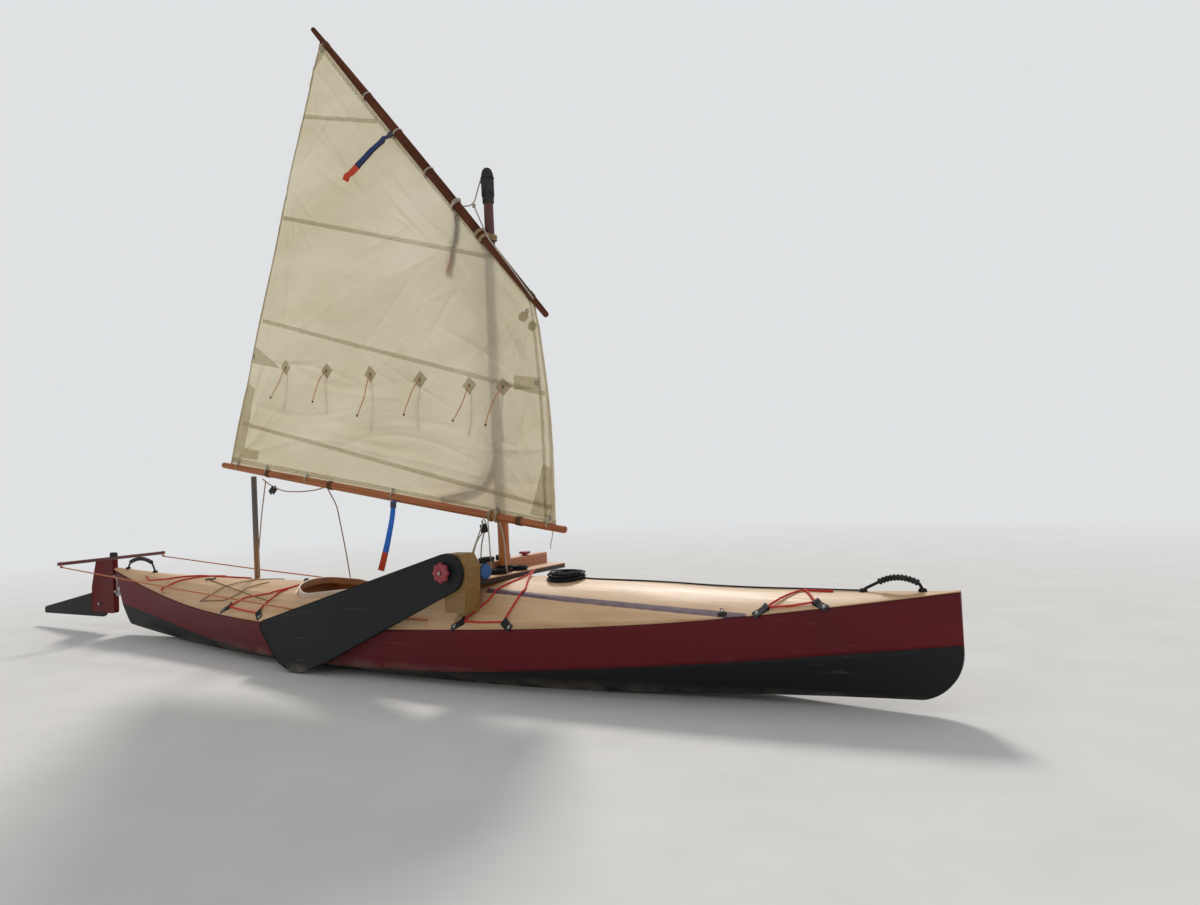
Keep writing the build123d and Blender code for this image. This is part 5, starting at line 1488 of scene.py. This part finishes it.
coil = wound(coil_middle, coil_reach, LAYERS, coil_start, layer_rise)
coil = on_deck(coil[:, 0], coil[:, 1], coil_lift + coil[:, 2])
cord("painter", np.vstack([PAINTER_POINTS, coil]), painter_radius, black_rope, "hull", "bare", "coiled",
     "medium", 10, replaced=["painter_line", "painter_coil"], slot="painter_rope")

# Deck fittings: folded tabs of black webbing, each under a steel screw, steel pad eyes, the foremost
# on a black foot, a black hook and a black ball. Orange-red elastic cords and thinner tan ones run
# between them over the deck.

# A tab: its place and its heading in degrees
TABS = (
    (0.602, -0.338, 30), (0.866, -0.326, 155), (1.829, -0.180, 45), (2.046, -0.127, 155),
    (-1.008, -0.254, 25), (-0.670, -0.297, 150),
)
tab_width, tab_thickness = 0.024, 0.0020
EYE_FOOT = (1.705, -0.193)
EYES = ((*EYE_FOOT, 0.009), (-1.694, -0.148, 0), (-1.276, -0.200, 0))
BALL_PLACE = (-0.626, -0.046)
HOOK_PLACE = (-1.42, -0.070)
bungee_radius, tan_cord_radius, hook_radius = 0.0038, 0.0023, 0.0042


def turned(foot, profile, sides=24, slot=0):
    """A turned piece standing on a foot: circles at heights and radii."""
    height, radius = np.array(profile).T[:, :, None]
    angle = np.linspace(0, 2 * np.pi, sides, endpoint=False)
    points = np.stack([foot[0] + radius * np.cos(angle), foot[1] + radius * np.sin(angle),
                       foot[2] + height + 0 * angle], -1)
    return lattice(points, around=True, capped=True, slot=slot)


def laid_down(shape, x, y, heading):
    """A shape drawn flat at the origin, turned to a heading in degrees and draped on the deck."""
    points = shape[0].copy()
    c, s = math.cos(math.radians(heading)), math.sin(math.radians(heading))
    plan_x, plan_y = x + points[:, 0] * c - points[:, 1] * s, y + points[:, 0] * s + points[:, 1] * c
    return (on_deck(plan_x, plan_y, points[:, 2]), *shape[1:])


fold = np.radians(np.linspace(-90, 120, 14))
fold_line = np.vstack([
    [(-0.014, 0, 0.0013), (0.010, 0, 0.0013), (0.026, 0, 0.0018)],
    np.stack([0.036 + 0.0056 * np.cos(fold), 0 * fold, 0.0072 + 0.0056 * np.sin(fold)], 1),
    [(0.022, 0, 0.0056), (0.010, 0, 0.0037), (-0.013, 0, 0.0034)],
])
tabs, screws = [], []
for x, y, heading in TABS:
    tabs.append(laid_down(band(even(fold_line, 40), (0, 1, 0), tab_width, tab_thickness), x, y, heading))
    screw_head = turned((-0.001, 0, 0.0044), [
        (0, 0.0062), (0.0010, 0.0060), (0.0024, 0.0046), (0.0028, 0.0022), (0.0016, 0.0012), (0.0016, 0.0),
    ])
    screws.append(laid_down(screw_head, x, y, heading))
for x, y, rise in EYES:
    eye = float(deck_z(x, y)) + rise
    screws += [ring((x, y, eye + 0.004), (0.3, 1, 0), 0.0062, 0.0017, 8, 24),
               turned((x, y, eye - 0.001), [(0, 0.007), (0.0025, 0.0066), (0.003, 0.004), (0.003, 0.0)])]
piece("deck_tabs", tabs, [webbing("black tab webbing", "1e1d1f", "2b292b")], "hull", sharp=50)
piece("deck_screws_and_eyes", screws, [steel], "hull", sharp=50)

# Elastic cords as (x, y, height over the deck)
BUNGEES = (
    ((0.634, -0.320, 0.007), (0.704, -0.235, 0.004), (0.719, -0.130, 0.004), (0.722, -0.060, 0.004),
     (0.712, 0.020, 0.008), (0.690, 0.070, 0.020)),
    ((0.830, -0.308, 0.007), (0.839, -0.172, 0.004), (0.760, -0.040, 0.004), (0.690, 0.090, 0.024)),
    ((0.634, -0.322, 0.007), (0.730, -0.318, 0.004), (0.830, -0.312, 0.007)),
    ((1.857, -0.152, 0.007), (1.930, -0.030, 0.004), (1.936, -0.016, 0.005), (1.946, -0.020, 0.004),
     (2.010, -0.110, 0.007)),
    ((1.857, -0.155, 0.007), (1.935, -0.136, 0.004), (2.012, -0.113, 0.007)),
    ((1.938, -0.018, 0.005), (1.990, -0.020, 0.004), (2.045, -0.020, 0.004)),
    ((-2.000, -0.060, 0.010), (-1.960, -0.078, 0.004), (-1.764, -0.074, 0.004), (-1.614, -0.026, 0.004),
     (-1.546, 0.000, 0.004), (-1.306, -0.001, 0.004), (-1.131, 0.005, 0.004)),
    ((-1.694, -0.148, 0.006), (-1.753, -0.128, 0.004), (-1.603, -0.073, 0.004), (-1.517, -0.030, 0.004),
     (-1.400, 0.040, 0.004)),
    ((-0.974, -0.240, 0.007), (-0.911, -0.200, 0.004), (-0.716, -0.186, 0.004), (-0.640, -0.130, 0.004),
     (-0.620, -0.040, 0.004), (-0.610, 0.080, 0.004)),
    ((-0.704, -0.280, 0.007), (-0.704, -0.240, 0.004), (-0.662, -0.190, 0.004), (-0.640, -0.150, 0.004)),
    ((-0.974, -0.243, 0.007), (-0.840, -0.262, 0.004), (-0.704, -0.283, 0.007)),
)
TAN_CORDS = (
    ((-1.381, -0.070, 0.004), (-1.087, -0.145, 0.003), (-0.850, -0.195, 0.005), (-0.700, -0.224, 0.006)),
    ((-0.900, -0.060, 0.003), (-0.974, -0.179, 0.007), (-1.063, -0.204, 0.003), (-1.276, -0.200, 0.004)),
    ((-1.276, -0.200, 0.004), (-1.130, -0.120, 0.006), (-1.010, 0.000, 0.003), (-0.930, 0.060, 0.003)),
)


def deck_runs(runs):
    """Lines laid on the deck: each point has its height over the deck, and the line follows it."""
    lines = [soft(run, 0.005, 4) for run in runs]
    return [on_deck(line[:, 0], line[:, 1], line[:, 2]) for line in lines]


bungee = rope_finish("orange-red elastic cord", "e2332a", "f2664a", 4.0, 0.008)
tan_cord = rope_finish("tan elastic cord", "97724a", "c09a66", 4.0, 0.008)
bungee_runs = [tube(line, bungee_radius, 8) for line in deck_runs(BUNGEES)]
tan_runs = [tube(line, tan_cord_radius, 8) for line in deck_runs(TAN_CORDS)]
piece("bungee_cords", bungee_runs, [bungee], "hull", sharp=80)
piece("tan_deck_cords", tan_runs, [tan_cord], "hull", sharp=80)
hook_line = soft([(0, 0, 0.006), (0.02, 0, 0.007), (0.06, 0, 0.006), (0.078, 0, 0.012)], 0.003, 3)
hook = laid_down(tube(hook_line, hook_radius, 12), *HOOK_PLACE, 6)
ball = turned((*BALL_PLACE, float(deck_z(*BALL_PLACE))), [
    (0.001, 0.004), (0.003, 0.010), (0.008, 0.0145), (0.014, 0.0155), (0.020, 0.0135), (0.025, 0.008),
    (0.0268, 0.0),
])
eye_foot = turned((*EYE_FOOT, float(deck_z(*EYE_FOOT)) - 0.002), [
    (0.0, 0.0160), (0.004, 0.0165), (0.008, 0.0140), (0.010, 0.0100), (0.011, 0.0),
])
piece("deck_hook_and_ball", [hook, ball, eye_foot], [black_rubber], "hull", sharp=60)

# The steering lines: one runs from a loop through each end of the yoke, in the air over the aft deck,
# to the deck beside the cockpit, and on along the deck. All are orange braided line.
steering = rope_finish("orange steering line", "cf7444", "e8b083", 3.0, 0.012)
steering_radius = 0.0036
steering_rest = 0.004
yoke_hole_y = 0.310
NEAR_STEERING = ((-0.474, -0.268), (-0.042, -0.297), (0.284, -0.312), (0.441, -0.320))
FAR_STEERING = ((-0.520, 0.226), (-0.400, 0.240), (-0.300, 0.245))
yoke_low, yoke_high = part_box("yoke")
yoke_x = (yoke_low.x + yoke_high.x) / 2
loops = []
for name, side, places, rise in (("near", -1, NEAR_STEERING, steering_rest), ("far", 1, FAR_STEERING, 0.028)):
    hole = np.array([yoke_x + side * 0.0054, side * yoke_hole_y, yoke_low.z])
    first = np.array([*places[0], float(deck_z(*places[0])) + rise])
    aft_end = hole + (0.012, -side * 0.004, -0.012)
    middle = aft_end * 0.5 + first * 0.5 - (0, 0, 0.004)
    aft = line_piece("steering_line_aft_" + name, [[aft_end, middle, first]], steering_radius, steering)
    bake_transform(aft)
    plan = even(places, 300)
    above = np.interp(np.linspace(0, 1, 300), (0, 0.4), (rise, steering_rest))
    laid = tube(on_deck(plan[:, 0], plan[:, 1], above), steering_radius, 8)
    piece("steering_line_" + name, [laid], [steering], "hull", sharp=80)
    loops.append(ring(hole + (0.004, 0, 0.004), (0.2, 1, 0), 0.0165, 0.0022, 8, 30))
    loops += [ring(hole + (0.013 + 0.004 * k, 0, -0.010), (1, 0, -0.3), 0.0042, 0.0022, 8, 18)
              for k in (-1, 0, 1)]
piece("yoke_loops", loops, [steering], "rudder", sharp=80)

# The ropes at the mast's foot: black rope lies in three turns round the mast and in four small hanks
# on the crossbeam, and the downhaul's pale lines and black block lead up to the boom.
beam_top = plank_high.z
bar_low, bar_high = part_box("beam_bar")
hank_radius, hank_lift, hank_rise = 0.0030, 0.0035, 0.0066
mast_turns = [ring((mast_x, 0, beam_top + lift), (tilt, 0.4 * tilt, 1), 0.0305, 0.0042, 10, 60)
              for lift, tilt in ((0.007, 0.05), (0.0165, -0.06), (0.026, 0.05))]
piece("mast_foot_ropes", mast_turns, [black_rope], "hull", sharp=80)

# A hank: its middle and reach, what it lies on, its start and bearing, and its smallest size
HANKS = (
    ((0.6180, -0.0720), (0.042, 0.034), beam_top, 0.3, 0, 0.42),
    ((0.5470, -0.0560), (0.027, 0.042), bar_high.z, 1.2, 6, 0.78),
    ((0.6260, 0.0700), (0.038, 0.036), beam_top, 2.1, -5, 0.42),
    ((0.5470, 0.0560), (0.027, 0.040), bar_high.z, 0.0, 4, 0.78),
)
for k, (middle, reach, lies_on, start, skew, small) in enumerate(HANKS):
    hank = wound(middle, reach, [(1.0, small, 0, 0, skew), (small + 0.02, 0.97, 0.001, 0.002, -skew),
                                 (0.95, small, -0.001, 0.0, skew)], start, hank_rise)
    hank[:, 2] += lies_on + hank_lift
    cord(f"mast_foot_hank_{k + 1}", hank, hank_radius, black_rope, "hull", "bare", "coiled")
boom_z = heights[BOOM]
downhaul_block = np.array((0.530, spar_y + 0.010, boom_z - 0.052))
downhaul = line_piece("downhaul", [
    [(0.452, -0.060, beam_top + 0.003), (0.491, -0.052, 0.562), downhaul_block - (0.004, 0, 0.014)],
    [(0.487, -0.030, beam_top + 0.003), (0.508, -0.036, 0.560), downhaul_block - (0, -0.004, 0.014)],
    [(0.470, -0.110, beam_top + 0.003), (0.520, -0.062, 0.600), (0.536, spar_y, boom_z - 0.022)],
    [(0.575, -0.060, beam_top + 0.003), (0.569, -0.058, 0.560), (0.565, spar_y - 0.004, boom_z - 0.020)],
    [(0.652, -0.052, beam_top + 0.003), (0.646, -0.053, 0.570), (0.628, spar_y - 0.004, boom_z - 0.020)],
], rigging_radius, pale_cord)
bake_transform(downhaul)
downhaul_pulley = pulley(downhaul_block, (-0.004, 0.018), (1, 0, 0.2), 0.007, 0.0035, 0.0045)
downhaul_pulley.append(ring(downhaul_block + (0, 0, 0.028), (1, 0, 0), 0.010, 0.0022, 8, 24, squash=1.2))
piece("downhaul_block", downhaul_pulley, [black_rubber], "rig", sharp=40)

# The roll: a firm blue cylinder with a white band and rounded ends, which lies on the crossbeam beside
# the cheek block, lashed with black cord. More of that cord binds the bar.
roll_middle_x, roll_y = 0.650, -0.238
roll_length, roll_thick = 0.110, 0.031
places = stations(-0.5, 0.5, 60)
rounding = np.clip((np.abs(places) - 0.40) / 0.10, 0, 1)
roll_radius = roll_thick * (0.30 + 0.70 * np.sqrt(1 - rounding**2))
roll_line = np.stack([roll_middle_x + roll_length * places, np.full(places.shape, roll_y),
                      np.full(places.shape, beam_top + roll_thick + 0.0005)], 1)


def roll_finish():
    """Blue with a white band round it, finely mottled."""
    material, tree, surface = finish("blue and white roll", Roughness=0.6)
    place = here(tree)
    level = parts(tree, place)[0]
    fore_of = spread(tree, level, 0.650, 0.653)
    white = times(tree, fore_of, spread(tree, level, 0.690, 0.693, 1.0, 0.0))
    colour = blended(tree, white, rgb("2c5c94"), rgb("b9c8d2"))
    join_up(tree, surface, colour, None, noise(tree, place, 120.0, 4.0), 0.001, 0.5)
    return material


piece("beam_roll", [tube(roll_line, roll_radius, 28)], [roll_finish()], "hull", sharp=60)
straps = [ring(roll_line[k], (1, 0, 0), 0.0322, 0.0030, 8, 40) for k in (14, 17, 33, 36, 44)]
bar_x, bar_z = (bar_low.x + bar_high.x) / 2, (bar_low.z + bar_high.z) / 2
straps += [ring((bar_x, y, bar_z + 0.001), (0, 1, 0), 0.037, 0.003, 8, 40) for y in (-0.150, -0.142, -0.105)]
piece("roll_straps", straps, [black_rope], "hull", sharp=80)

# The studio: a pale floor that fades into a pale backdrop, a soft sky all round and one large soft
# sun high behind the sail, so that the cloth lets light through as outdoors.
backdrop = rgb("dfe1e3")
floor_half = 30.0
fade_from, fade_to = 3.5, 9.0


def floor_finish():
    """Pale floor that keeps the boat's shadow near it and takes the backdrop's colour further out."""
    material, tree, surface = finish("studio floor", Roughness=0.9, Specular_IOR_Level=0.1)
    place = here(tree)
    tone = blended(tree, spread(tree, noise(tree, place, 3.0, 3.0), 0.3, 0.7), rgb("dcdad6"), rgb("e2e0dc"))
    tree.links.new(tone, surface.inputs["Base Color"])
    far = put(tree, "VectorMath", {"operation": "LENGTH"}, i0=place).outputs[1]
    glow = put(tree, "Emission", Color=backdrop, Strength=1.0).outputs[0]
    seen = put(tree, "LightPath").outputs["Is Camera Ray"]
    share = times(tree, spread(tree, far, fade_from, fade_to), seen)
    mixed = put(tree, "MixShader", i0=share, i1=surface.outputs[0], i2=glow).outputs[0]
    tree.links.new(mixed, tree.nodes["Material Output"].inputs["Surface"])
    return material


corner = np.array([[(-floor_half, -floor_half, 0), (-floor_half, floor_half, 0)],
                   [(floor_half, -floor_half, 0), (floor_half, floor_half, 0)]], float)
floor = piece("studio_floor", [lattice(corner)], [floor_finish()])

world = bpy.data.worlds.new("studio sky")
bpy.context.scene.world = world
world.use_nodes = True
sky = world.node_tree
path = put(sky, "LightPath").outputs
seen = sums(sky, "MAXIMUM", path["Is Camera Ray"], path["Is Transmission Ray"])
soft_sky = put(sky, "Background", Color=rgb("eef1f6"), Strength=0.60).outputs[0]
pale_sky = put(sky, "Background", Color=backdrop, Strength=1.0).outputs[0]
mixed = put(sky, "MixShader", i0=seen, i1=soft_sky, i2=pale_sky).outputs[0]
sky.links.new(mixed, sky.nodes["World Output"].inputs["Surface"])

sun = bpy.data.objects.new("soft sun", bpy.data.lights.new("soft sun", "SUN"))
sun.data.energy = 1.75
sun.data.angle = math.radians(12.0)
sun.data.color = (1.0, 0.97, 0.92)
sun.rotation_euler = Vector((0.65, -1.0, -1.05)).to_track_quat("-Z", "Y").to_euler()
bpy.context.scene.collection.objects.link(sun)

# The camera: where the photograph was taken from, low and off the bow, level with the horizon while
# the boat stood bow up on the shore, so that it is a little rolled against the boat.
camera = bpy.data.objects.new("camera", bpy.data.cameras.new("camera"))
camera.data.sensor_width = 36.0
camera.data.lens = 27.0
camera.data.shift_y = -0.0104
right = Vector((0.8426, 0.536, -0.0486))
up = Vector((0.0576, 0.0, 0.9983))
ahead = Vector((-0.5351, 0.844, 0.0309))
view_from = Matrix.Translation((3.0533, -3.0542, 0.853))
camera.matrix_world = view_from @ Matrix((right, up, -ahead)).transposed().to_4x4()
bpy.context.scene.collection.objects.link(camera)
bpy.context.scene.camera = camera
bpy.context.scene.view_settings.view_transform = "Standard"
